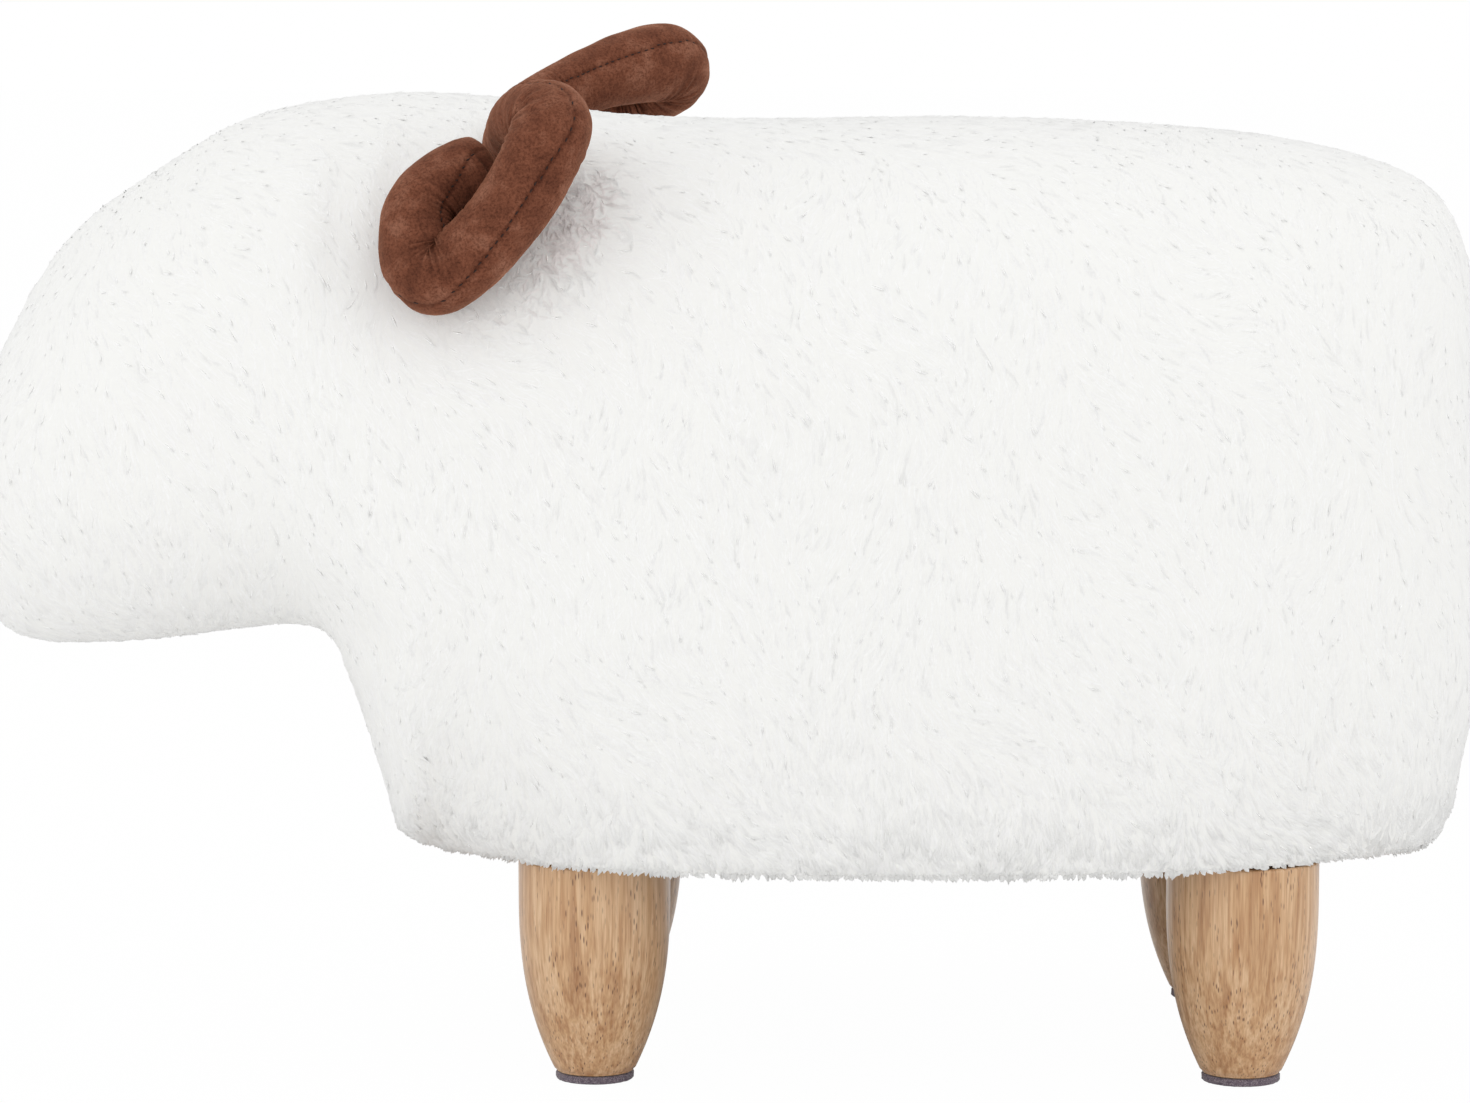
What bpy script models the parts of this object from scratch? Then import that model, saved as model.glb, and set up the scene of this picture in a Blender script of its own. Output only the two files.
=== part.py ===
"""Animal footstool: a plush sheep with stuffed horns, on four turned legs.

Metres, +Z up. The nose points to -X and the rump to +X, so the animal's left side is at -Y.
The origin is on the floor under the middle of the stool.

The outside is one lofted form. A station along the body has a top point, a low point, a
half-width at mid-height and a half-width at the hem, and its section is drawn through them.
The sewn panels, the padding, the boards and the horns all take their place from that form.
"""
import math

import bmesh
import bpy
import numpy as np
from mathutils import Matrix, Vector

# Overall sizes of the padded body
LENGTH = 0.622
WIDTH = 0.306
CROWN_HEIGHT = 0.395
HEM_HEIGHT = 0.091

# Cloth, padding and the clearance between neighbouring pieces
GAP = 0.0003
COVER_THICKNESS = 0.006
DUST_COVER_THICKNESS = 0.0008
DUST_COVER_MARGIN = 0.003

# Legs. Along the stool their places are shares of LENGTH, so they stay under the body's corners.
LEG_SPREAD_X_SHARE = 0.418
LEG_MIDDLE_X_SHARE = 0.1238
LEG_TOP_RADIUS = 0.0305
LEG_FOOT_RADIUS = 0.0145
LEG_SWELL_HEIGHT = 0.075
LEG_TOP_EDGE = 0.0015
PAD_THICKNESS = 0.003
PAD_EDGE = 0.0005

# Leg fixings
BOLT_RADIUS = 0.004
BOLT_DEPTH_IN_LEG = 0.038
BOLT_STAND = 0.0015
BOLT_TIP = 0.0008
NUT_FLANGE_RADIUS = 0.009
NUT_FLANGE_THICKNESS = 0.0015
NUT_BARREL_RADIUS = 0.0053
NUT_BARREL_LENGTH = 0.011
NUT_CLEARANCE = 0.0005

# Box. Its ends are shares of LENGTH from the middle of the stool.
BASE_BOARD_THICKNESS = 0.015
BASE_BOARD_MARGIN = 0.010
BOARD_THICKNESS = 0.012
BOX_FRONT_SHARE = -0.1254
BOX_REAR_SHARE = 0.3055
BOX_WIDTH_SHARE = 0.716
SEAT_PADDING_DEPTH = 0.056
BLOCK_SECTION = 0.025
BLOCK_LIFT = 0.008

# Head board, an upright plate in the middle of the head. Its reach is a share of LENGTH, and its
# levels are shares of the height from the hem to the crown.
HEAD_BOARD_REACH_SHARE = 0.2524
HEAD_BOARD_LOW_SHARE = 0.372
HEAD_BOARD_HIGH_SHARE = 0.799
HEAD_BOARD_NOSE_LOW_SHARE = 0.454
HEAD_BOARD_NOSE_HIGH_SHARE = 0.701

# Padding. The chest piece ends at a share of that height, and at a share of LENGTH.
CHEST_TOP_SHARE = 0.339
CHEST_FRONT_SHARE = -0.254
PADDING_CLEARANCE = 0.0005
PADDING_LIFT = 0.004

# Wood screws
SCREW_HEAD_RADIUS = 0.0038
SCREW_HEAD_HEIGHT = 0.0030
SCREW_SHANK_RADIUS = 0.0019
SCREW_LENGTH = 0.030
SCREW_POINT = 0.003
SCREW_SINK = 0.0004
BASE_SCREW_INSET_SHARE = 0.317

# Horns
HORN_SPAN = 0.100
HORN_THICKNESS = 0.0282
HORN_CLOTH = 0.0015
HORN_FILL_CLEARANCE = 0.0005
HORN_COLLAR = 0.005
HORN_RINGS = 26
HORN_SIDES = 10

# Numbers of steps and cells
TURN_STEPS = 20
SMALL_TURN_STEPS = 12
HOLE_POINTS = 12
LEG_STEPS = 9
TOP_CELLS = 4
SHOULDER_CELLS = 4
FLANK_CELLS = 6
BELLY_CELLS = 3
HALF_CELLS = TOP_CELLS + SHOULDER_CELLS + FLANK_CELLS + BELLY_CELLS
LOOP_CELLS = 2 * HALF_CELLS

# Stations where a seam or the hem crosses the body
FACE_SEAM = 4
NECK_SEAM = 11
HEM_FRONT = 14
CROWN_SEAM = 15
REAR_SEAM = 21
HEM_REAR = 23

# One row for each station, from the nose to the rump. The x values are shares of LENGTH from
# the nose, the z values are shares of the height from the hem to the crown, and the widths are
# shares of half of WIDTH. The seam is where the top seam lies, as a share of the half-width.
# The last three shape the section: how square it is above, how long the flank stays
# upright, and how it ends (0.5 turns under in an arc, 1 comes down to a plain edge).
STATION_SHARES = np.array([
    # top_x, top_z, low_x, low_z, width, hem, seam, square, upright, ending
    (0.0000, 0.467, 0.0000, 0.467, 0.000, 0.000, 0.45, 2.3, 2.0, 0.5),
    (0.0016, 0.536, 0.0016, 0.398, 0.301, 0.170, 0.45, 2.3, 2.0, 0.5),
    (0.0080, 0.638, 0.0075, 0.313, 0.523, 0.314, 0.45, 2.3, 2.0, 0.5),
    (0.0210, 0.707, 0.0190, 0.273, 0.641, 0.392, 0.45, 2.3, 2.0, 0.5),
    (0.0402, 0.773, 0.0418, 0.253, 0.719, 0.431, 0.45, 2.3, 2.0, 0.5),
    (0.0723, 0.836, 0.0772, 0.252, 0.784, 0.458, 0.45, 2.3, 2.0, 0.5),
    (0.1174, 0.898, 0.1222, 0.260, 0.840, 0.477, 0.45, 2.3, 2.0, 0.5),
    (0.1690, 0.961, 0.1690, 0.273, 0.882, 0.490, 0.45, 2.3, 2.0, 0.5),
    (0.2106, 0.985, 0.2074, 0.278, 0.908, 0.497, 0.45, 2.3, 2.0, 0.5),
    (0.2395, 0.992, 0.2267, 0.260, 0.925, 0.497, 0.46, 2.4, 2.0, 0.5),
    (0.2605, 0.997, 0.2380, 0.207, 0.938, 0.497, 0.48, 2.4, 2.0, 0.5),
    (0.2797, 1.000, 0.2492, 0.148, 0.948, 0.497, 0.50, 2.5, 2.0, 0.5),
    (0.2990, 1.000, 0.2621, 0.079, 0.961, 0.490, 0.54, 2.5, 2.0, 0.5),
    (0.3199, 0.998, 0.2781, 0.023, 0.971, 0.477, 0.60, 2.6, 2.1, 0.5),
    (0.3457, 0.993, 0.3039, 0.000, 0.980, 0.458, 0.68, 2.8, 2.1, 0.55),
    (0.3842, 0.982, 0.3585, 0.000, 0.990, 0.670, 0.75, 2.9, 2.3, 0.65),
    (0.4357, 0.969, 0.4196, 0.000, 0.997, 0.846, 0.79, 3.1, 2.6, 0.80),
    (0.5241, 0.964, 0.5241, 0.000, 1.000, 0.928, 0.79, 3.2, 2.9, 0.95),
    (0.6447, 0.967, 0.6447, 0.000, 1.000, 0.935, 0.79, 3.2, 3.0, 1.0),
    (0.7492, 0.961, 0.7492, 0.000, 0.980, 0.895, 0.79, 3.2, 3.0, 1.0),
    (0.8296, 0.949, 0.8296, 0.000, 0.928, 0.797, 0.79, 3.1, 3.0, 1.0),
    (0.8794, 0.934, 0.8794, 0.000, 0.863, 0.693, 0.78, 3.1, 2.8, 0.90),
    (0.9277, 0.909, 0.9309, 0.000, 0.739, 0.530, 0.72, 3.0, 2.4, 0.70),
    (0.9598, 0.878, 0.9646, 0.000, 0.601, 0.380, 0.60, 2.9, 2.1, 0.55),
    (0.9791, 0.826, 0.9839, 0.020, 0.464, 0.288, 0.60, 2.8, 2.0, 0.5),
    (0.9903, 0.750, 0.9928, 0.072, 0.333, 0.205, 0.60, 2.6, 2.0, 0.5),
    (0.9972, 0.640, 0.9978, 0.190, 0.196, 0.118, 0.60, 2.4, 2.0, 0.5),
    (1.0000, 0.431, 1.0000, 0.431, 0.000, 0.000, 0.60, 2.3, 2.0, 0.5),
])
LAST_STATION = len(STATION_SHARES) - 1
# After these stations the next one is far off, and a row of cells ends halfway
LONG_STATIONS = (14, 15, 16, 17, 18, 19, 22)
# Under the jaw the lines of cells lean forward by this many stations, so that the neck seam
# runs into the throat. The lean is greatest at the neck and dies out at the hem and the face.
THROAT_LEAN = 2.0
LEAN_FRONT = 4.5

# Paths of the two horns, as shares of HORN_SPAN from the root along X, Y and Z, and the radius
# as a share of HORN_THICKNESS. The left one rolls down and forward on the cheek. The right one
# lies back and rolls outward.
LEFT_HORN_SHARES = (
    (0.008, -0.130, 0.110, 0.400),
    (0.031, -0.290, 0.118, 0.450),
    (0.046, -0.450, 0.040, 0.472),
    (-0.012, -0.555, -0.092, 0.486),
    (-0.115, -0.628, -0.262, 0.490),
    (-0.225, -0.670, -0.397, 0.460),
    (-0.268, -0.686, -0.499, 0.435),
    (-0.370, -0.690, -0.547, 0.420),
    (-0.472, -0.660, -0.502, 0.405),
    (-0.517, -0.610, -0.392, 0.390),
    (-0.507, -0.550, -0.272, 0.376),
    (-0.452, -0.465, -0.168, 0.362),
    (-0.361, -0.385, -0.097, 0.333),
    (-0.267, -0.320, -0.052, 0.277),
    (-0.189, -0.250, -0.022, 0.195),
    (-0.145, -0.205, -0.002, 0.100),
)
RIGHT_HORN_SHARES = (
    (0.034, 0.090, 0.110, 0.400),
    (0.146, 0.200, 0.140, 0.450),
    (0.290, 0.260, 0.205, 0.472),
    (0.436, 0.330, 0.250, 0.472),
    (0.536, 0.440, 0.224, 0.468),
    (0.560, 0.570, 0.144, 0.460),
    (0.510, 0.670, 0.030, 0.443),
    (0.396, 0.722, -0.080, 0.418),
    (0.256, 0.716, -0.155, 0.390),
    (0.116, 0.670, -0.180, 0.355),
    (0.006, 0.594, -0.160, 0.300),
    (-0.060, 0.520, -0.105, 0.223),
    (-0.080, 0.470, -0.045, 0.106),
)
HORN_ROOT_SHARE = 0.340
LEFT_HORN_STATION = 15.0
RIGHT_HORN_STATION = 14.7
HORN_ROOT_CELL = 2.9

# Places and levels that follow from the sizes above
BODY_HEIGHT = CROWN_HEIGHT - HEM_HEIGHT
LEG_MIDDLE_X = LEG_MIDDLE_X_SHARE * LENGTH
LEG_SPREAD_X = LEG_SPREAD_X_SHARE * LENGTH
BOX_FRONT = BOX_FRONT_SHARE * LENGTH
BOX_REAR = BOX_REAR_SHARE * LENGTH
BOX_HALF = BOX_WIDTH_SHARE * WIDTH / 2
BOX_INSIDE = BOX_HALF - BOARD_THICKNESS
LEG_SPREAD_Y = 2 * (BOX_INSIDE - NUT_FLANGE_RADIUS - NUT_CLEARANCE)
BASE_SCREW_INSET = BASE_SCREW_INSET_SHARE * (BOX_REAR - BOX_FRONT)
SEAT_BOARD_TOP = CROWN_HEIGHT - SEAT_PADDING_DEPTH
CHEST_TOP = HEM_HEIGHT + CHEST_TOP_SHARE * BODY_HEIGHT
CHEST_FRONT = CHEST_FRONT_SHARE * LENGTH
BASE_TOP = HEM_HEIGHT + BASE_BOARD_THICKNESS
DUST_COVER_TOP = HEM_HEIGHT - GAP
LEG_TOP = DUST_COVER_TOP - DUST_COVER_THICKNESS - GAP
LEG_BOTTOM = PAD_THICKNESS + GAP
BOX_FOOT = BASE_TOP + GAP
SEAT_BOARD_LOW = SEAT_BOARD_TOP - BOARD_THICKNESS
PADDING_DEPTH = COVER_THICKNESS + PADDING_CLEARANCE
SWEEP = 2 * LENGTH


for old in list(bpy.data.objects):
    bpy.data.objects.remove(old, do_unlink=True)

parts = bpy.data.collections.new("animal_footstool")
cutters = bpy.data.collections.new("cutters")
for group in (parts, cutters):
    bpy.context.scene.collection.children.link(group)


def make_material(name, colour, roughness, metallic=0.0):
    """A plain Principled material."""
    material = bpy.data.materials.new(name)
    material.use_nodes = True
    shader = material.node_tree.nodes["Principled BSDF"]
    shader.inputs["Base Color"].default_value = (*colour, 1.0)
    shader.inputs["Roughness"].default_value = roughness
    shader.inputs["Metallic"].default_value = metallic
    return material


PLUSH = make_material("plush", (0.86, 0.85, 0.82), 0.95)
VELOUR = make_material("velour", (0.17, 0.065, 0.038), 0.90)
LEG_WOOD = make_material("leg_wood", (0.52, 0.34, 0.19), 0.42)
FELT = make_material("felt", (0.10, 0.08, 0.12), 0.95)
PLYWOOD = make_material("plywood", (0.60, 0.44, 0.27), 0.70)
PINE = make_material("pine", (0.68, 0.50, 0.30), 0.65)
FOAM = make_material("foam", (0.80, 0.74, 0.52), 0.95)
FIBRE = make_material("fibre", (0.85, 0.85, 0.85), 0.98)
ZINC = make_material("zinc_steel", (0.62, 0.62, 0.64), 0.35, 1.0)
DUST_CLOTH = make_material("dust_cloth", (0.02, 0.02, 0.02), 0.95)


def finish(name, mesh, material, group=parts, smooth_angle=None):
    """Put a mesh into the scene as a named piece."""
    piece = bpy.data.objects.new(name, mesh)
    mesh.materials.append(material)
    group.objects.link(piece)
    if smooth_angle is not None:
        mesh.shade_smooth()
        mesh.set_sharp_from_angle(angle=smooth_angle)
    return piece


def as_cutter(piece):
    """Keep a piece as a cutter only."""
    piece.hide_render = True
    piece.display_type = "WIRE"
    return piece


def cut(piece, cutter, operation="DIFFERENCE"):
    """Cut a piece with a cutter, or keep only what they share."""
    change = piece.modifiers.new(cutter.name, "BOOLEAN")
    change.object = cutter
    change.operation = operation
    change.solver = "EXACT"


def block(name, low, high, material, group=parts):
    """A plain block between two corners."""
    low, high = Vector(low), Vector(high)
    mesh = bpy.data.meshes.new(name)
    bm = bmesh.new()
    bmesh.ops.create_cube(bm, size=1.0)
    size = high - low
    place = Matrix.Translation((low + high) / 2) @ Matrix.Diagonal((*size, 1.0))
    bmesh.ops.transform(bm, matrix=place, verts=bm.verts)
    bm.to_mesh(mesh)
    bm.free()
    return finish(name, mesh, material, group)


def turned(name, profile, steps, place, material, group=parts, smooth_angle=math.radians(35)):
    """A turned piece: a profile of (radius, height) points spun about the upright axis."""
    mesh = bpy.data.meshes.new(name)
    points = [(radius, 0.0, height) for radius, height in profile]
    edges = [(i, i + 1) for i in range(len(points) - 1)]
    mesh.from_pydata(points, edges, [])
    piece = finish(name, mesh, material, group)
    piece.location = place
    spin = piece.modifiers.new("spin", "SCREW")
    spin.axis = "Z"
    spin.steps = steps
    spin.render_steps = steps
    spin.use_merge_vertices = True
    spin.merge_threshold = GAP / 30
    spin.use_smooth_shade = smooth_angle is not None
    return piece


def plate(name, outline, low, high, material, holes=()):
    """A flat plate: an outline in plan, with round holes, between two levels."""
    curve = bpy.data.curves.new(name, "CURVE")
    curve.dimensions = "2D"
    curve.fill_mode = "BOTH"
    curve.extrude = (high - low) / 2
    loops = [outline]
    for x, y, radius in holes:
        turns = [2 * math.pi * i / HOLE_POINTS for i in range(HOLE_POINTS)]
        loops.append([(x + radius * math.cos(a), y + radius * math.sin(a)) for a in turns])
    for loop in loops:
        spline = curve.splines.new("POLY")
        spline.points.add(len(loop) - 1)
        for point, (x, y) in zip(spline.points, loop):
            point.co = (x, y, 0.0, 1.0)
        spline.use_cyclic_u = True
    piece = bpy.data.objects.new(name, curve)
    curve.materials.append(material)
    parts.objects.link(piece)
    piece.location.z = (low + high) / 2
    return piece


def as_mesh(piece):
    """Turn a curve piece into a closed mesh piece in the same place."""
    bpy.context.view_layer.update()
    name, place = piece.name, piece.matrix_world.copy()
    evaluated = piece.evaluated_get(bpy.context.evaluated_depsgraph_get())
    mesh = bpy.data.meshes.new_from_object(evaluated)
    bpy.data.objects.remove(piece, do_unlink=True)
    bm = bmesh.new()
    bm.from_mesh(mesh)
    bmesh.ops.remove_doubles(bm, verts=bm.verts, dist=GAP / 30)
    bmesh.ops.recalc_face_normals(bm, faces=bm.faces)
    bm.to_mesh(mesh)
    bm.free()
    solid = bpy.data.objects.new(name, mesh)
    parts.objects.link(solid)
    solid.matrix_world = place
    return solid


def smooth_rows(table, at):
    """Read a table between its rows, on a Catmull-Rom curve through them.

    The curve needs one row before the first and one after the last. Both ends of the table are
    closed ends of the body, so these are the neighbours seen across the end: top and low points
    change places and widths change sign.
    """
    def across(row):
        return np.concatenate((row[2:4], row[0:2], -row[4:6], row[6:]))

    rows = np.vstack((across(table[1]), table, across(table[-2])))
    at = np.asarray(at, float)
    first = np.clip(np.floor(at).astype(int), 0, len(table) - 2)
    t = (at - first)[:, None]
    a, b, c, d = (rows[first + i] for i in range(4))
    return 0.5 * (2 * b + (c - a) * t + (2 * a - 5 * b + 4 * c - d) * t**2 + (3 * b - a - 3 * c + d) * t**3)


def section_shares(seam, square, upright, ending, hem, cell):
    """Where a cell line crosses the sections: across as a share of the half-width, and up or down.

    Above mid-height the section is a superellipse. Below it, the width goes from the half-width
    to the hem's as (1 - t^upright)^ending, and the belly strip is straight.
    """
    seam_up = (1 - seam**square) ** (1 / square)
    if cell <= TOP_CELLS:
        across = seam * cell / TOP_CELLS
        return across, (1 - across**square) ** (1 / square)
    if cell <= TOP_CELLS + SHOULDER_CELLS:
        up = seam_up * (1 - (cell - TOP_CELLS) / SHOULDER_CELLS)
        return (1 - up**square) ** (1 / square), up
    if cell <= HALF_CELLS - BELLY_CELLS:
        share = (cell - TOP_CELLS - SHOULDER_CELLS) / FLANK_CELLS
        down = math.sin(math.pi / 2 * share) * np.ones_like(seam)
        return hem + (1 - hem) * np.maximum(0, 1 - down**upright) ** ending, -down
    share = (HALF_CELLS - cell) / BELLY_CELLS
    return hem * share, -np.ones_like(seam)


def leaning(rows, cell):
    """The stations that the rows of cells reach at a cell line, where they lean to the throat."""
    rows = np.asarray(rows, float)
    share = (abs(cell) - TOP_CELLS - SHOULDER_CELLS) / FLANK_CELLS
    reach = np.where(rows < NECK_SEAM, NECK_SEAM - LEAN_FRONT, HEM_FRONT - NECK_SEAM)
    away = np.clip((rows - NECK_SEAM) / reach, -1, 1)
    return rows - THROAT_LEAN * np.clip(share, 0, 1) ** 2 * (1 + np.cos(math.pi * away)) / 2


def form_lines(rows, cells):
    """Points of the outer form for each row and each cell line, as rows x lines x 3.

    A negative cell counts from the top centre round the left side, a positive one round the
    right side.
    """
    lines = []
    for cell in cells:
        shares = smooth_rows(STATION_SHARES, leaning(rows, cell))
        top_x, top_z, low_x, low_z, width, hem_width, seam, square, upright, ending = shares.T
        hem = np.divide(hem_width, width, out=np.full_like(width, 0.5), where=np.abs(width) > 0.01)
        half = np.maximum(width, 0) * WIDTH / 2
        across, up = section_shares(seam, square, upright, ending, hem, abs(cell))
        side = -1 if cell < 0 else 1
        x = ((top_x + low_x) / 2 + (top_x - low_x) / 2 * up - 0.5) * LENGTH
        z = HEM_HEIGHT + ((top_z + low_z) / 2 + (top_z - low_z) / 2 * up) * BODY_HEIGHT
        lines.append(np.stack((x, side * half * across, z), axis=-1))
    return np.stack(lines, axis=1)


def unit(vectors):
    """The same directions with length 1."""
    return vectors / np.maximum(np.linalg.norm(vectors, axis=-1, keepdims=True), 1e-12)


ROWS = sorted(set(range(LAST_STATION + 1)) | {i + 0.5 for i in LONG_STATIONS})
LOOP = [i if i <= HALF_CELLS else i - LOOP_CELLS for i in range(LOOP_CELLS)]
SURFACE = form_lines(ROWS, LOOP)


def directions():
    """Along, around and outward directions at each point of SURFACE.

    At the hem they are taken from the wall alone, so the wall keeps its thickness there.
    """
    along = np.gradient(SURFACE, axis=0)
    ahead = np.roll(SURFACE, -1, axis=1) - SURFACE
    behind = SURFACE - np.roll(SURFACE, 1, axis=1)
    around = ahead + behind
    front, rear = ROWS.index(HEM_FRONT), ROWS.index(HEM_REAR)
    hem_line = HALF_CELLS - BELLY_CELLS
    right, left = hem_line, LOOP_CELLS - hem_line
    around[front:rear + 1, right] = behind[front:rear + 1, right]
    around[front:rear + 1, left] = ahead[front:rear + 1, left]
    belly = slice(right, left + 1)
    along[front, belly] = SURFACE[front, belly] - SURFACE[front - 1, belly]
    along[rear, belly] = SURFACE[rear + 1, belly] - SURFACE[rear, belly]
    outward = unit(np.cross(along, around))
    outward[0] = (-1, 0, 0)
    outward[-1] = (1, 0, 0)
    return unit(along), unit(around), outward


ALONG, AROUND, OUTWARD = directions()


def panel_of(station, loop_cell):
    """The name of the sewn panel that a cell of the form belongs to, or None at the open belly."""
    right = loop_cell < HALF_CELLS
    cell = loop_cell if right else LOOP_CELLS - 1 - loop_cell
    side = "right" if right else "left"
    if station < FACE_SEAM:
        return "cover_face"
    if station > HEM_REAR:
        return "cover_rump"
    if cell < TOP_CELLS:
        return "cover_crown" if station < CROWN_SEAM else "cover_seat_top"
    if cell >= HALF_CELLS - BELLY_CELLS:
        if station > HEM_FRONT:
            return None
        return "cover_chin" if station < NECK_SEAM else "cover_chest"
    if station < NECK_SEAM:
        return "cover_cheek_" + side
    return "cover_side_" + side if station < REAR_SEAM else "cover_rump"


def panel_cells():
    """The cells of each panel."""
    found = {}
    for i in range(len(ROWS) - 1):
        for j in range(LOOP_CELLS):
            name = panel_of((ROWS[i] + ROWS[i + 1]) / 2, j)
            if name:
                found.setdefault(name, set()).add((i, j))
    return found


def seam_shift(i, j, cells):
    """How a panel's edge point draws back from the seam, half a clearance towards its own cells."""
    if i in (0, len(ROWS) - 1):
        return np.zeros(3)
    before, after = (j - 1) % LOOP_CELLS, j
    has = {(a, b) for a in (i - 1, i) for b in (before, after) if (a, b) in cells}
    along = sum(a == i for a, b in has) - sum(a == i - 1 for a, b in has)
    around = sum(b == after for a, b in has) - sum(b == before for a, b in has)
    return GAP / 2 * (np.sign(along) * ALONG[i, j] + np.sign(around) * AROUND[i, j])


def triangles(i, j):
    """A cell as triangles of its corners, alike on the left and the right of the body.

    Each surface at any depth is split the same way, so that they nest.
    """
    corners = []
    for a, b in ((i, j), (i + 1, j), (i + 1, j + 1), (i, j + 1)):
        key = (a, 0) if a in (0, len(ROWS) - 1) else (a, b % LOOP_CELLS)
        if key not in corners:
            corners.append(key)
    if len(corners) == 3:
        return [corners]
    a, b, c, d = corners
    return [[a, b, c], [a, c, d]] if j < HALF_CELLS else [[a, b, d], [b, c, d]]


def sewn_panel(name, cells):
    """One panel of the plush cover.

    Its face and its back are the same patch of the form at two depths, because neighbours that
    share directions at a seam can't run into each other.
    """
    corners = [triangle for cell in sorted(cells) for triangle in triangles(*cell)]
    keys = sorted({key for triangle in corners for key in triangle})
    points = []
    for depth in (0.0, COVER_THICKNESS):
        for i, j in keys:
            point = SURFACE[i, j] - depth * OUTWARD[i, j] + seam_shift(i, j, cells)
            points.append(tuple(point))
    number = {key: n for n, key in enumerate(keys)}
    back = len(keys)
    faces, edges = [], {}
    for triangle in corners:
        loop = [number[key] for key in triangle]
        faces.append(loop)
        faces.append([n + back for n in reversed(loop)])
        for a, b in zip(loop, loop[1:] + loop[:1]):
            edges[(a, b)] = edges.get((a, b), 0) + 1
    for a, b in edges:
        if (b, a) in edges:
            continue
        # Both panels at a seam split its edge along the same diagonal
        if a < b:
            faces += [[b, a, b + back], [a, a + back, b + back]]
        else:
            faces += [[b, a, a + back], [b, a + back, b + back]]
    mesh = bpy.data.meshes.new(name)
    mesh.from_pydata(points, [], faces)
    mesh.validate()
    return finish(name, mesh, PLUSH, smooth_angle=math.radians(50))


def form_mesh(name, depth):
    """The whole form as one closed mesh, at a depth below the outside."""
    surface = SURFACE - depth * OUTWARD
    cells = [(i, j) for i in range(len(ROWS) - 1) for j in range(LOOP_CELLS)]
    corners = [triangle for cell in cells for triangle in triangles(*cell)]
    keys = sorted({key for triangle in corners for key in triangle})
    number = {key: n for n, key in enumerate(keys)}
    faces = [[number[key] for key in triangle] for triangle in corners]
    mesh = bpy.data.meshes.new(name)
    mesh.from_pydata([tuple(surface[key]) for key in keys], [], faces)
    return mesh


def padding(name, low, high, hollows=()):
    """A block of foam that fills the form between two corners, less the boards that it goes round."""
    piece = finish(name, form_mesh(name, PADDING_DEPTH), FOAM)
    region = as_cutter(block("region_" + name, low, high, FOAM, cutters))
    cut(piece, region, "INTERSECT")
    for hollow in hollows:
        cut(piece, hollow)
    return piece


def hem_outline(margin):
    """The edge of the belly in plan, drawn in by a margin."""
    front, rear = ROWS.index(HEM_FRONT), ROWS.index(HEM_REAR)
    hem_line = HALF_CELLS - BELLY_CELLS
    points, inward = [], []
    for i in range(front, rear + 1):
        points.append(SURFACE[i, hem_line][:2])
    points = np.array(points)
    points = np.vstack((points, points[::-1] * (1, -1)))
    ahead = np.roll(points, -1, axis=0) - points
    behind = points - np.roll(points, 1, axis=0)
    inward = np.stack((unit(ahead), unit(behind)))[..., ::-1] * (1, -1)
    mitre = inward.sum(axis=0)
    mitre /= (1 + (inward[0] * inward[1]).sum(axis=-1))[:, None]
    return [tuple(point) for point in points + margin * mitre]


def leg_places():
    """Names and plan places of the four legs."""
    for end, along in (("front", -1), ("rear", 1)):
        for side, across in (("left", -1), ("right", 1)):
            x = LEG_MIDDLE_X + along * LEG_SPREAD_X / 2
            yield end + "_" + side, x, across * LEG_SPREAD_Y / 2


def leg_radius(height):
    """The leg's radius: it swells from the foot as 1 - (1 - h)^2.6 and is straight above."""
    share = min(1.0, (height - LEG_BOTTOM) / LEG_SWELL_HEIGHT)
    swell = 1 - (1 - share) ** 2.6
    return LEG_FOOT_RADIUS + (LEG_TOP_RADIUS - LEG_FOOT_RADIUS) * swell


def leg_profile():
    """The leg in the round: the blind bore for its bolt, the top, and the turned outside."""
    bore = BOLT_RADIUS + GAP
    bore_end = LEG_TOP - BOLT_DEPTH_IN_LEG - GAP
    profile = [(0.0, bore_end), (bore, bore_end), (bore, LEG_TOP)]
    profile.append((LEG_TOP_RADIUS - LEG_TOP_EDGE, LEG_TOP))
    profile.append((LEG_TOP_RADIUS, LEG_TOP - LEG_TOP_EDGE))
    for step in range(LEG_STEPS, -1, -1):
        height = LEG_BOTTOM + LEG_SWELL_HEIGHT * (step / LEG_STEPS) ** 1.3
        profile.append((leg_radius(height), height))
    profile.append((0.0, LEG_BOTTOM))
    return profile


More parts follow.
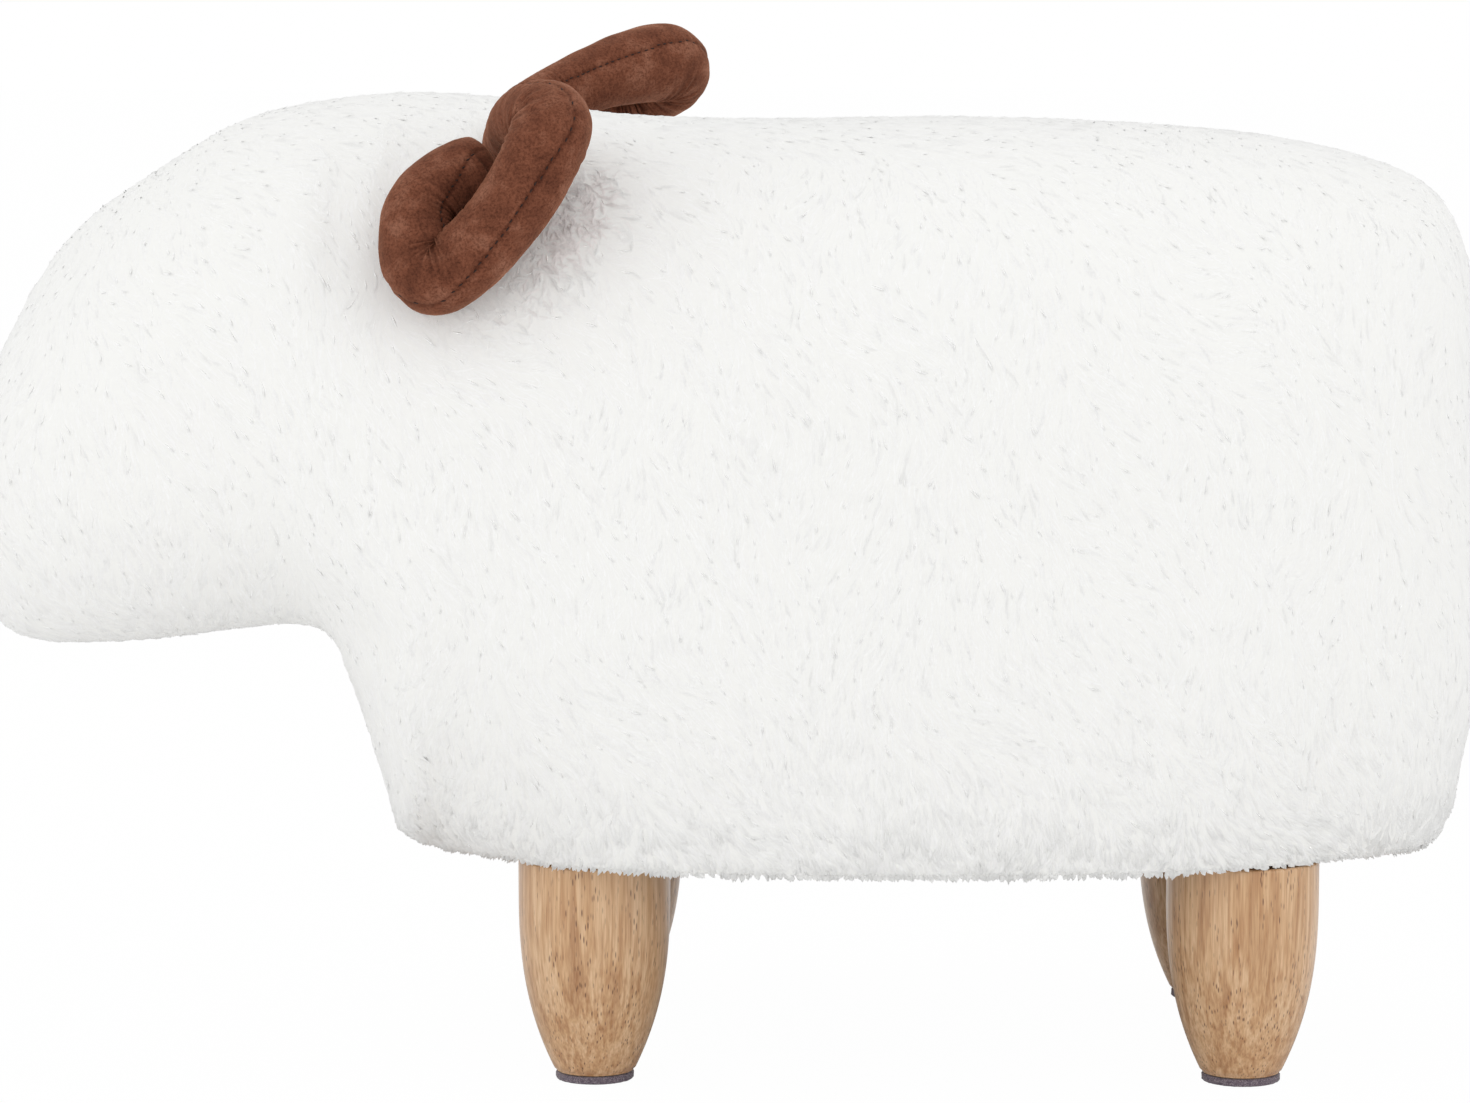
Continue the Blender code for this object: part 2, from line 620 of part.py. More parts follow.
def make_legs():
    """Legs with their felt pads, hanger bolts and T-nuts."""
    bolt_low = LEG_TOP - BOLT_DEPTH_IN_LEG
    nut_seat = BASE_TOP + GAP
    nut_top = nut_seat + NUT_FLANGE_THICKNESS
    bolt_high = nut_top + BOLT_STAND
    nut_bore = BOLT_RADIUS + GAP
    pad = [(0.0, PAD_THICKNESS), (LEG_FOOT_RADIUS - PAD_EDGE, PAD_THICKNESS),
           (LEG_FOOT_RADIUS, PAD_THICKNESS - PAD_EDGE), (LEG_FOOT_RADIUS, 0.0), (0.0, 0.0)]
    bolt = [(0.0, bolt_high), (BOLT_RADIUS - BOLT_TIP, bolt_high), (BOLT_RADIUS, bolt_high - BOLT_TIP),
            (BOLT_RADIUS, bolt_low + BOLT_TIP), (BOLT_RADIUS - BOLT_TIP, bolt_low), (0.0, bolt_low)]
    nut = [(nut_bore, nut_top), (NUT_FLANGE_RADIUS, nut_top), (NUT_FLANGE_RADIUS, nut_seat),
           (NUT_BARREL_RADIUS, nut_seat), (NUT_BARREL_RADIUS, nut_seat - NUT_BARREL_LENGTH),
           (nut_bore, nut_seat - NUT_BARREL_LENGTH), (nut_bore, nut_top)]
    for name, x, y in leg_places():
        turned("leg_" + name, leg_profile(), TURN_STEPS, (x, y, 0), LEG_WOOD)
        turned("felt_pad_" + name, pad, TURN_STEPS, (x, y, 0), FELT)
        turned("hanger_bolt_" + name, bolt, SMALL_TURN_STEPS, (x, y, 0), ZINC)
        turned("t_nut_" + name, nut, SMALL_TURN_STEPS, (x, y, 0), ZINC)


def screw_profile(grow=0.0):
    """A countersunk screw, head up at height 0, or with grow the hole that it goes into."""
    head, shank = SCREW_HEAD_RADIUS + grow, SCREW_SHANK_RADIUS + grow
    tip = -SCREW_LENGTH - grow
    top = SWEEP if grow else 0.0
    profile = [(0.0, top), (head, top)]
    if grow:
        profile.append((head, 0.0))
    return profile + [(shank, -SCREW_HEAD_HEIGHT), (shank, tip + SCREW_POINT), (0.0, tip)]


def screw(name, place, pieces, upward=False):
    """One wood screw and the holes that it goes through."""
    turn = math.pi if upward else 0.0
    solid = turned(name, screw_profile(), SMALL_TURN_STEPS, place, ZINC)
    solid.rotation_euler.x = turn
    hole = turned("hole_" + name, screw_profile(GAP), SMALL_TURN_STEPS, place, ZINC, cutters)
    hole.rotation_euler.x = turn
    as_cutter(hole)
    for piece in pieces:
        cut(piece, hole)


def make_box():
    """The box of boards on its base, with corner blocks, screws and the head board."""
    bolts = [(x, y, NUT_BARREL_RADIUS + GAP) for name, x, y in leg_places()]
    outline = hem_outline(BASE_BOARD_MARGIN)
    base = as_mesh(plate("base_board", outline, HEM_HEIGHT, BASE_TOP, PLYWOOD, bolts))
    board_high = SEAT_BOARD_LOW - GAP
    sides = {}
    for name, way in (("left", -1), ("right", 1)):
        edges = sorted((way * BOX_HALF, way * BOX_INSIDE))
        sides[name] = block("side_board_" + name, (BOX_FRONT, edges[0], BOX_FOOT),
                            (BOX_REAR, edges[1], board_high), PLYWOOD)
    inner = BOX_INSIDE - GAP
    block("front_board", (BOX_FRONT, -inner, BOX_FOOT),
          (BOX_FRONT + BOARD_THICKNESS, inner, board_high), PLYWOOD)
    block("rear_board", (BOX_REAR - BOARD_THICKNESS, -inner, BOX_FOOT),
          (BOX_REAR, inner, board_high), PLYWOOD)
    seat = block("seat_board", (BOX_FRONT, -BOX_HALF, SEAT_BOARD_LOW),
                 (BOX_REAR, BOX_HALF, SEAT_BOARD_TOP), PLYWOOD)
    front_x = BOX_FRONT + BOARD_THICKNESS + GAP
    rear_x = BOX_REAR - BOARD_THICKNESS - GAP - BLOCK_SECTION
    for end, x in (("front", front_x), ("rear", rear_x)):
        for side, way in (("left", -1), ("right", 1)):
            edges = sorted((way * inner, way * (inner - BLOCK_SECTION)))
            name = end + "_" + side
            post = block("corner_block_" + name, (x, edges[0], BOX_FOOT + BLOCK_LIFT),
                         (x + BLOCK_SECTION, edges[1], board_high), PINE)
            middle = (x + BLOCK_SECTION / 2, sum(edges) / 2, SEAT_BOARD_TOP - SCREW_SINK)
            screw("seat_screw_" + name, middle, (seat, post))
            along = BOX_FRONT + BASE_SCREW_INSET if end == "front" else BOX_REAR - BASE_SCREW_INSET
            below = (along, way * (BOX_HALF + BOX_INSIDE) / 2, HEM_HEIGHT + SCREW_SINK)
            screw("base_screw_" + name, below, (base, sides[side]), upward=True)
    dust_holes = [(x, y, BOLT_RADIUS + GAP) for name, x, y in leg_places()]
    dust_low = DUST_COVER_TOP - DUST_COVER_THICKNESS
    plate("dust_cover", hem_outline(DUST_COVER_MARGIN), dust_low, DUST_COVER_TOP, DUST_CLOTH, dust_holes)


def head_board(name, grow, material, group=parts):
    """The upright plate that carries the head's padding, or with grow the slot that it fills."""
    rear = BOX_FRONT - GAP + (GAP * 3 if grow else 0.0)
    front = BOX_FRONT - HEAD_BOARD_REACH_SHARE * LENGTH - grow
    shares = np.array([HEAD_BOARD_LOW_SHARE, HEAD_BOARD_HIGH_SHARE,
                       HEAD_BOARD_NOSE_HIGH_SHARE, HEAD_BOARD_NOSE_LOW_SHARE])
    levels = HEM_HEIGHT + shares * BODY_HEIGHT + np.array([-grow, grow, grow, -grow])
    outline = tuple(zip((rear, rear, front, front), levels))
    half = BOARD_THICKNESS / 2 + grow
    mesh = bpy.data.meshes.new(name)
    bm = bmesh.new()
    face = bm.faces.new([bm.verts.new((x, -half, z)) for x, z in outline])
    swept = bmesh.ops.extrude_face_region(bm, geom=[face])
    moved = [item for item in swept["geom"] if isinstance(item, bmesh.types.BMVert)]
    bmesh.ops.translate(bm, verts=moved, vec=(0, 2 * half, 0))
    bmesh.ops.recalc_face_normals(bm, faces=bm.faces)
    bm.to_mesh(mesh)
    bm.free()
    return finish(name, mesh, material, group)


def make_padding():
    """Foam on the seat, the sides, the rump, the chest and the head."""
    seat_level = SEAT_BOARD_TOP + GAP
    under_seat = SEAT_BOARD_TOP
    level = BASE_TOP + PADDING_LIFT
    far = SWEEP
    padding("seat_foam", (BOX_FRONT, -far, seat_level), (far, far, far))
    for side, way in (("left", -1), ("right", 1)):
        edges = sorted((way * (BOX_HALF + GAP), way * far))
        padding("side_foam_" + side, (BOX_FRONT, edges[0], level), (BOX_REAR, edges[1], under_seat))
    padding("rump_foam", (BOX_REAR + GAP, -far, level), (far, far, under_seat))
    padding("chest_foam", (CHEST_FRONT, -far, level), (BOX_FRONT - GAP, far, CHEST_TOP))
    slot = as_cutter(head_board("slot_head_board", GAP, FOAM, cutters))
    chest = as_cutter(block("slot_chest", (CHEST_FRONT - GAP, -far, -far), (far, far, CHEST_TOP + GAP),
                            FOAM, cutters))
    padding("head_foam", (-far, -far, level), (BOX_FRONT - GAP, far, far), (slot, chest))


def horn_path(station, side, table):
    """Middle line and radii of a horn, from its root on the form to its tip, on a smooth curve."""
    cell = side * HORN_ROOT_CELL
    step = 0.05
    root, ahead = form_lines((station, station + step), (cell,))[:, 0]
    beside = form_lines((station,), (cell + side * step,))[0, 0]
    normal = unit(np.cross(ahead - root, beside - root)) * side
    base = root + GAP * 2 * normal
    points = [base, base + HORN_COLLAR * normal]
    radii = [HORN_ROOT_SHARE * HORN_THICKNESS] * 2
    for *place, radius in table:
        points.append(root + HORN_SPAN * np.array(place))
        radii.append(radius * HORN_THICKNESS)
    keys = np.column_stack((points, radii))
    keys = np.vstack((2 * keys[0] - keys[1], keys, 2 * keys[-1] - keys[-2]))
    at = np.linspace(0, len(points) - 1, HORN_RINGS)
    first = np.minimum(at.astype(int), len(points) - 2)
    t = (at - first)[:, None]
    a, b, c, d = (keys[first + i] for i in range(4))
    curve = 0.5 * (2 * b + (c - a) * t + (2 * a - 5 * b + 4 * c - d) * t**2 + (3 * b - a - 3 * c + d) * t**3)
    return curve[:, :3], curve[:, 3], normal


def horn_rings(middle, radii, normal):
    """Rings of points round a path, turning as little as they can from one to the next."""
    tangents = unit(np.gradient(middle, axis=0))
    tangents[:2] = normal
    tangents[2] = unit(tangents[2] + normal)
    side = unit(np.cross(normal, (1.0, 0.0, 0.0)))
    turns = np.linspace(0, 2 * math.pi, HORN_SIDES, endpoint=False)
    rings = []
    for point, tangent, radius in zip(middle, tangents, radii):
        side = unit(side - tangent * side.dot(tangent))
        up = np.cross(tangent, side)
        rings.append([point + radius * (math.cos(a) * side + math.sin(a) * up) for a in turns])
    return rings


def add_tube(bm, rings, tip, outward):
    """Add a tube with a closed tip and an open root. It faces out, or in."""
    rows = [[bm.verts.new(point) for point in ring] for ring in rings]
    end = bm.verts.new(tip)
    sides = range(HORN_SIDES)
    for near, far in zip(rows, rows[1:]):
        for j in sides:
            k = (j + 1) % HORN_SIDES
            for loop in ([near[j], near[k], far[k]], [near[j], far[k], far[j]]):
                bm.faces.new(loop if outward else loop[::-1])
    for j in sides:
        loop = [rows[-1][j], rows[-1][(j + 1) % HORN_SIDES], end]
        bm.faces.new(loop if outward else loop[::-1])
    return rows[0]


def make_horn(name, station, side, table):
    """A stuffed horn: its velour cover, open where it is sewn on, and the fibre inside."""
    middle, radii, normal = horn_path(station, side, table)
    ahead = unit(middle[-1] - middle[-2])
    cover = bmesh.new()
    outer = add_tube(cover, horn_rings(middle, radii, normal), middle[-1] + ahead * radii[-1], True)
    thin = radii - HORN_CLOTH
    inner = add_tube(cover, horn_rings(middle, thin, normal), middle[-1] + ahead * thin[-1], False)
    for j in range(HORN_SIDES):
        k = (j + 1) % HORN_SIDES
        cover.faces.new([outer[k], outer[j], inner[j], inner[k]])
    filled = bmesh.new()
    slim = thin - HORN_FILL_CLEARANCE
    core = middle.copy()
    core[0] += GAP * normal
    root = add_tube(filled, horn_rings(core, slim, normal), middle[-1] + ahead * slim[-1], True)
    filled.faces.new(root[::-1])
    for piece, bm, material in (("horn_cover_", cover, VELOUR), ("horn_stuffing_", filled, FIBRE)):
        mesh = bpy.data.meshes.new(piece + name)
        bm.to_mesh(mesh)
        bm.free()
        finish(piece + name, mesh, material, smooth_angle=math.radians(60))


for panel, members in panel_cells().items():
    sewn_panel(panel, members)
make_padding()
make_box()
head_board("head_board", 0.0, PLYWOOD)
make_legs()
make_horn("left", LEFT_HORN_STATION, -1, LEFT_HORN_SHARES)
make_horn("right", RIGHT_HORN_STATION, 1, RIGHT_HORN_SHARES)
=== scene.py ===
"""Animal footstool: a sheep in off-white plush with brown velour horns, on four lacquered legs.

Metres, +Z up, nose to -X, the animal's left side at -Y. The padded body is the lofted form of the
CAD model, worked out again here from the same table. The plush is a backing cloth that follows
the form a pile's depth down, and some hundred thousand locks of pile that grow out of it.
"""

import math

import bpy
import numpy as np
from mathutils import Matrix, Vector


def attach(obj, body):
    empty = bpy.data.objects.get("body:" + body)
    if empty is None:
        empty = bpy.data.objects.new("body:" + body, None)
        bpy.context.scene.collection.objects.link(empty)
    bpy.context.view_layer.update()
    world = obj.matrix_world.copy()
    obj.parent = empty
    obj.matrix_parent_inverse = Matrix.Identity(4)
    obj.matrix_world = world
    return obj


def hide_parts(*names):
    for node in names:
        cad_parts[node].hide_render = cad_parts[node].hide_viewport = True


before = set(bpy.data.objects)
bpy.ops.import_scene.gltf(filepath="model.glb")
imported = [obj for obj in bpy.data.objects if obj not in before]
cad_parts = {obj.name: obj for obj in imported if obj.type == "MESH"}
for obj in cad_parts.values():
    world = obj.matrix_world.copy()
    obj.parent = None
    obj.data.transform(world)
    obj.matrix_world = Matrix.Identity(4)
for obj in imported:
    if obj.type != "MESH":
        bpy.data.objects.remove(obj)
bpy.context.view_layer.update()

# ---- sizes of the body, as the CAD model has them
LENGTH = 0.622
WIDTH = 0.306
CROWN_HEIGHT = 0.395
HEM_HEIGHT = 0.091
TOP_CELLS, SHOULDER_CELLS, FLANK_CELLS, BELLY_CELLS = 4, 4, 6, 3
HEM_CELL = TOP_CELLS + SHOULDER_CELLS + FLANK_CELLS
HALF_CELLS = HEM_CELL + BELLY_CELLS
FAR_HEM = 2 * HALF_CELLS - HEM_CELL
FACE_SEAM, NECK_SEAM, HEM_FRONT, CROWN_SEAM, REAR_SEAM, HEM_REAR = 4, 11, 14, 15, 21, 23
THROAT_LEAN, LEAN_FRONT = 2.0, 4.5

STATIONS = np.array([
    # top_x, top_z, low_x, low_z, width, hem, seam, square, upright, ending
    (0.0000, 0.467, 0.0000, 0.467, 0.000, 0.000, 0.45, 2.3, 2.0, 0.5),
    (0.0016, 0.536, 0.0016, 0.398, 0.301, 0.170, 0.45, 2.3, 2.0, 0.5),
    (0.0080, 0.638, 0.0075, 0.313, 0.523, 0.314, 0.45, 2.3, 2.0, 0.5),
    (0.0210, 0.707, 0.0190, 0.273, 0.641, 0.392, 0.45, 2.3, 2.0, 0.5),
    (0.0402, 0.773, 0.0418, 0.253, 0.719, 0.431, 0.45, 2.3, 2.0, 0.5),
    (0.0723, 0.836, 0.0772, 0.252, 0.784, 0.458, 0.45, 2.3, 2.0, 0.5),
    (0.1174, 0.898, 0.1222, 0.260, 0.840, 0.477, 0.45, 2.3, 2.0, 0.5),
    (0.1690, 0.961, 0.1690, 0.273, 0.882, 0.490, 0.45, 2.3, 2.0, 0.5),
    (0.2106, 0.985, 0.2074, 0.278, 0.908, 0.497, 0.45, 2.3, 2.0, 0.5),
    (0.2395, 0.992, 0.2267, 0.260, 0.925, 0.497, 0.46, 2.4, 2.0, 0.5),
    (0.2605, 0.997, 0.2380, 0.207, 0.938, 0.497, 0.48, 2.4, 2.0, 0.5),
    (0.2797, 1.000, 0.2492, 0.148, 0.948, 0.497, 0.50, 2.5, 2.0, 0.5),
    (0.2990, 1.000, 0.2621, 0.079, 0.961, 0.490, 0.54, 2.5, 2.0, 0.5),
    (0.3199, 0.998, 0.2781, 0.023, 0.971, 0.477, 0.60, 2.6, 2.1, 0.5),
    (0.3457, 0.993, 0.3039, 0.000, 0.980, 0.458, 0.68, 2.8, 2.1, 0.55),
    (0.3842, 0.982, 0.3585, 0.000, 0.990, 0.670, 0.75, 2.9, 2.3, 0.65),
    (0.4357, 0.969, 0.4196, 0.000, 0.997, 0.846, 0.79, 3.1, 2.6, 0.80),
    (0.5241, 0.964, 0.5241, 0.000, 1.000, 0.928, 0.79, 3.2, 2.9, 0.95),
    (0.6447, 0.967, 0.6447, 0.000, 1.000, 0.935, 0.79, 3.2, 3.0, 1.0),
    (0.7492, 0.961, 0.7492, 0.000, 0.980, 0.895, 0.79, 3.2, 3.0, 1.0),
    (0.8296, 0.949, 0.8296, 0.000, 0.928, 0.797, 0.79, 3.1, 3.0, 1.0),
    (0.8794, 0.934, 0.8794, 0.000, 0.863, 0.693, 0.78, 3.1, 2.8, 0.90),
    (0.9277, 0.909, 0.9309, 0.000, 0.739, 0.530, 0.72, 3.0, 2.4, 0.70),
    (0.9598, 0.878, 0.9646, 0.000, 0.601, 0.380, 0.60, 2.9, 2.1, 0.55),
    (0.9791, 0.826, 0.9839, 0.020, 0.464, 0.288, 0.60, 2.8, 2.0, 0.5),
    (0.9903, 0.750, 0.9928, 0.072, 0.333, 0.205, 0.60, 2.6, 2.0, 0.5),
    (0.9972, 0.640, 0.9978, 0.190, 0.196, 0.118, 0.60, 2.4, 2.0, 0.5),
    (1.0000, 0.431, 1.0000, 0.431, 0.000, 0.000, 0.60, 2.3, 2.0, 0.5),
])
LAST = len(STATIONS) - 1

# ---- the plush, in metres. A lock is given by its length, width and height, and by how far it is
# sunk in the backing.
PILE_DEPTH = 0.0009
BACKING = 0.0014
BACKING_PITCH = 0.0036
LOCK_PITCH, LOCK = 0.0021, (0.0095, 0.0025, 0.00048, 0.0004)
STRAY_PITCH, STRAY = 0.0086, (0.0056, 0.0007, 0.0003, 0.0002)
FRINGE_PITCH, FRINGE = 0.0014, (0.0092, 0.0019, 0.0006, 0.0006)
# how far the sides of a lock are lit as if they leaned
SIDE_LIGHT = 0.21
# where the left horn rubs the pile: x and z of each spot, its reach and how rough it is
RUBBED = ((-0.052, 0.356, 0.016, 1.0), (-0.062, 0.338, 0.016, 0.9), (-0.078, 0.320, 0.016, 0.7),
          (-0.100, 0.306, 0.014, 0.45), (-0.140, 0.330, 0.012, 0.3))
# the stations that have a hem, the cell past it where the side panels' backing ends, and the
# station where the fringe at the back ends
HEM_ROWS = 13.6, 24.0
PAST_HEM = 14.2
REAR_FRINGE = 23.35
HEM_HANG = 0.0018

# ---- the horns: middle lines from the root, and radii, in metres. The left one rolls down and
# forward on the cheek, the right one lies back over the top and rolls outward.
HORN_ROOTS = {"left": (14.65, -3.15), "right": (14.7, 2.9)}
HORN_LINES = {
    "left": np.array([
        (0.0004, -0.0078, -0.0044, 0.0144), (0.0025, -0.0218, 0.0005, 0.0145),
        (0.0062, -0.0358, 0.0054, 0.0146), (0.0119, -0.0488, 0.0070, 0.0151),
        (0.0162, -0.0588, 0.0044, 0.0154), (0.0135, -0.0663, -0.0049, 0.0156),
        (0.0055, -0.0693, -0.0197, 0.0148), (-0.0043, -0.0703, -0.0340, 0.0144),
        (-0.0144, -0.0703, -0.0447, 0.0146), (-0.0220, -0.0698, -0.0504, 0.0149),
        (-0.0290, -0.0688, -0.0522, 0.0157), (-0.0344, -0.0663, -0.0474, 0.0152),
        (-0.0359, -0.0628, -0.0383, 0.0146), (-0.0349, -0.0583, -0.0296, 0.0144),
        (-0.0310, -0.0538, -0.0238, 0.0145), (-0.0254, -0.0498, -0.0192, 0.0145),
        (-0.0197, -0.0466, -0.0154, 0.0141), (-0.0143, -0.0438, -0.0120, 0.0126),
        (-0.0102, -0.0425, -0.0100, 0.0097), (-0.0076, -0.0415, -0.0089, 0.0051)]),
    "right": np.array([
        (-0.0086, 0.0090, 0.0026, 0.0123), (-0.0008, 0.0200, 0.0075, 0.0128),
        (0.0079, 0.0280, 0.0121, 0.0133), (0.0179, 0.0350, 0.0165, 0.0140),
        (0.0284, 0.0420, 0.0201, 0.0152), (0.0390, 0.0500, 0.0228, 0.0164),
        (0.0480, 0.0580, 0.0239, 0.0171), (0.0530, 0.0660, 0.0215, 0.0164),
        (0.0509, 0.0725, 0.0161, 0.0153), (0.0439, 0.0765, 0.0108, 0.0135),
        (0.0354, 0.0780, 0.0063, 0.0122), (0.0266, 0.0755, 0.0035, 0.0109),
        (0.0190, 0.0700, 0.0023, 0.0091), (0.0136, 0.0640, 0.0021, 0.0066),
        (0.0104, 0.0600, 0.0024, 0.0037)]),
}
# where the first seam runs, in degrees from the side that faces the camera towards the outside of
# the roll, at shares of the horn's length
HORN_SEAMS = {
    "left": ((0.0, 0.346, 0.396, 0.45, 0.553, 0.616, 0.66, 0.692, 0.73, 0.774, 0.855, 0.893, 0.925,
              0.962, 1.0),
             (52, 50, 24, 15, 15, 21, 28, 42, 90, 125, 157, 174, 188, 208, 215)),
    "right": ((0.0, 0.365, 0.44, 0.522, 0.591, 0.648, 0.755, 1.0),
              (15, 17, 20, 24, 36, 90, 125, 130)),
}
HORN_RINGS = 300
HORN_SIDES = 96
STITCH_PITCH = 0.0031
THREAD_RADIUS = 0.00031
# velour and backing together
HORN_CLOTH = 0.0024

# ---- legs and pads, as the CAD model has them: each leg's x and y, and how far round its grain is
# turned, in radians
LEGS = {"front_left": (-0.05299, -0.08805, 0.0), "front_right": (-0.05299, 0.08805, 2.2),
        "rear_left": (0.20700, -0.08805, 0.75), "rear_right": (0.20700, 0.08805, 4.0)}
LEG_TOP_RADIUS = 0.0305
LEG_FOOT_RADIUS = 0.0158
LEG_SWELL_HEIGHT = 0.075
LEG_BOTTOM = 0.0033
LEG_TOP = HEM_HEIGHT - 0.0008
PAD_THICKNESS = 0.003


# ---------------------------------------------------------------- numbers
def unit(v):
    """The same directions with length 1."""
    return v / np.maximum(np.linalg.norm(v, axis=-1, keepdims=True), 1e-12)


def dot(a, b):
    """Dot products of two rows of vectors, as a column."""
    return (a * b).sum(axis=-1, keepdims=True)


def waves(points, size, seed, count=6):
    """Smooth noise from -1 to 1: the mean of sine waves of about that wavelength, each running
    its own way through space."""
    turn = np.random.default_rng(seed)
    ways = unit(turn.normal(size=(count, 3))) * (2 * math.pi / size)
    ways *= turn.uniform(0.7, 1.4, (count, 1))
    phases = turn.uniform(0, 2 * math.pi, count)
    return np.sin(points @ ways.T + phases).sum(axis=-1) / math.sqrt(count)


def catmull(rows, at):
    """Rows read between their numbers on a Catmull-Rom curve. Row 0 and the last only steer."""
    first = np.clip(np.floor(at).astype(int), 0, len(rows) - 4)
    t = (at - first)[..., None]
    a, b, c, d = (rows[first + i] for i in range(4))
    return 0.5 * (2 * b + (c - a) * t + (2 * a - 5 * b + 4 * c - d) * t**2
                  + (3 * b - a - 3 * c + d) * t**3)


def read(at, known, table):
    """Rows of a table read in a straight line between their known places."""
    return np.stack([np.interp(at, known, column) for column in table.T], axis=-1)


def smoothed(values, span):
    """Values mixed with their neighbours over an odd number of steps."""
    kernel = np.hanning(span) / np.hanning(span).sum()
    return np.convolve(np.pad(values, span // 2, mode="edge"), kernel, "valid")


def ease(value):
    """From 0 to 1 and level at both ends, for values from 0 to 1."""
    value = np.clip(value, 0, 1)
    return value * value * (3 - 2 * value)


# ---------------------------------------------------------------- the padded body's form
def beyond(row):
    """A station row as its neighbour sees it from beyond the nose or the rump."""
    return np.concatenate((row[2:4], row[0:2], -row[4:6], row[6:]))


STEERED = np.vstack((beyond(STATIONS[1]), STATIONS, beyond(STATIONS[-2])))


def settle(points):
    """Moves points to where the stuffed cover has settled: the chest up to 11 mm back and the chin
    6 mm up, with a rounder nose and a rounder corner under the rump. Each move eases in and out."""
    x, z = points[..., 0], points[..., 2]
    chest = ease((-0.075 - x) / 0.050) * ease((0.220 - z) / 0.045)
    chest *= 0.55 + 0.45 * ease((z - 0.091) / 0.030)
    chest *= 1 - 0.55 * ease((-0.240 - x) / 0.060)
    chin = ease((z - 0.105) / 0.050) * ease((0.260 - z) / 0.070) * ease((-0.130 - x) / 0.030)
    nose = np.exp(-((z - 0.305) / 0.045) ** 2) * ease((-0.230 - x) / 0.070)
    brow = ease((z - 0.290) / 0.040) * ease((-0.150 - x) / 0.070)
    low = ease((0.165 - z) / 0.060)
    rump_in, rump_up = low * ease((x - 0.262) / 0.045), low * ease((x - 0.286) / 0.020)
    moved = points.copy()
    moved[..., 0] += 0.0112 * chest + 0.0070 * nose - 0.0060 * rump_in
    moved[..., 2] += 0.0062 * chin - 0.0018 * brow + 0.0060 * rump_up
    return moved


def form(rows, cells):
    """The outer form at a station number along the body and a cell number round it.

    Cells count from the top centre, up to 17 at the belly's middle, and are negative on the left.
    Above mid-height the section is a superellipse. Below it, the width goes from the half-width
    to the hem's as (1 - t^upright)^ending, and the belly is straight. Under the jaw the rows lean
    forward, so that the neck seam runs into the throat.
    """
    rows, cells = np.broadcast_arrays(np.asarray(rows, float), np.asarray(cells, float))
    cells = (cells + HALF_CELLS) % (2 * HALF_CELLS) - HALF_CELLS
    side, cell = np.where(cells < 0, -1.0, 1.0), np.abs(cells)
    flank = np.clip((cell - TOP_CELLS - SHOULDER_CELLS) / FLANK_CELLS, 0, 1)
    reach = np.where(rows < NECK_SEAM, NECK_SEAM - LEAN_FRONT, HEM_FRONT - NECK_SEAM)
    away = np.clip((rows - NECK_SEAM) / reach, -1, 1)
    at = np.clip(rows - THROAT_LEAN * flank**2 * (1 + np.cos(math.pi * away)) / 2, 0, LAST)
    top_x, top_z, low_x, low_z, width, hem_width, seam, square, upright, ending = np.moveaxis(
        catmull(STEERED, at), -1, 0)
    hem = np.divide(hem_width, width, out=np.full_like(width, 0.5), where=np.abs(width) > 0.01)
    top = seam * np.clip(cell / TOP_CELLS, 0, 1)
    seam_up = (1 - seam**square) ** (1 / square)
    up = seam_up * np.clip(1 - (cell - TOP_CELLS) / SHOULDER_CELLS, 0, 1)
    down = np.sin(math.pi / 2 * flank)
    belly = np.clip((HALF_CELLS - cell) / BELLY_CELLS, 0, 1)
    where = [cell <= TOP_CELLS, cell <= TOP_CELLS + SHOULDER_CELLS, cell <= HEM_CELL]
    out = np.select(where, [top, (1 - up**square) ** (1 / square),
                            hem + (1 - hem) * np.maximum(0, 1 - down**upright) ** ending], hem * belly)
    high = np.select(where, [(1 - top**square) ** (1 / square), up, -down], -1.0)
    x = ((top_x + low_x) / 2 + (top_x - low_x) / 2 * high - 0.5) * LENGTH
    y = side * np.maximum(width, 0) * WIDTH / 2 * out
    z = HEM_HEIGHT + ((top_z + low_z) / 2 + (top_z - low_z) / 2 * high) * (CROWN_HEIGHT - HEM_HEIGHT)
    return settle(np.stack((x, y, z), axis=-1))


def form_frame(rows, cells):
    """Point, change per station, change per cell and outward direction, by small differences."""
    rows, cells = np.broadcast_arrays(np.asarray(rows, float), np.asarray(cells, float))
    low, high = np.clip(rows - 0.03, 0, LAST), np.clip(rows + 0.03, 0, LAST)
    along = (form(high, cells) - form(low, cells)) / (high - low)[..., None]
    near = np.clip(rows, 0.02, LAST - 0.02)
    round_ = (form(near, cells + 0.03) - form(near, cells - 0.03)) / 0.06
    end = np.where(rows < LAST / 2, -1.0, 1.0)[..., None] * np.array([1.0, 0, 0])
    out = np.cross(along, round_)
    near_end = np.clip(0.03 - np.abs(rows - np.where(rows < LAST / 2, 0, LAST)), 0, 1) * 60
    out = unit(unit(out) + end * near_end[..., None])
    return form(rows, cells), along, round_, out


# Every seam: along a station or a cell line, at that number, and between which numbers of the other
SEAMS = (
    ("row", FACE_SEAM, 0, 17), ("row", NECK_SEAM, 4, 17), ("row", CROWN_SEAM, 0, 4),
    ("row", REAR_SEAM, 4, 14), ("row", HEM_REAR, 0, 4),
    ("cell", TOP_CELLS, FACE_SEAM, HEM_REAR), ("cell", HEM_CELL, FACE_SEAM, HEM_FRONT),
)


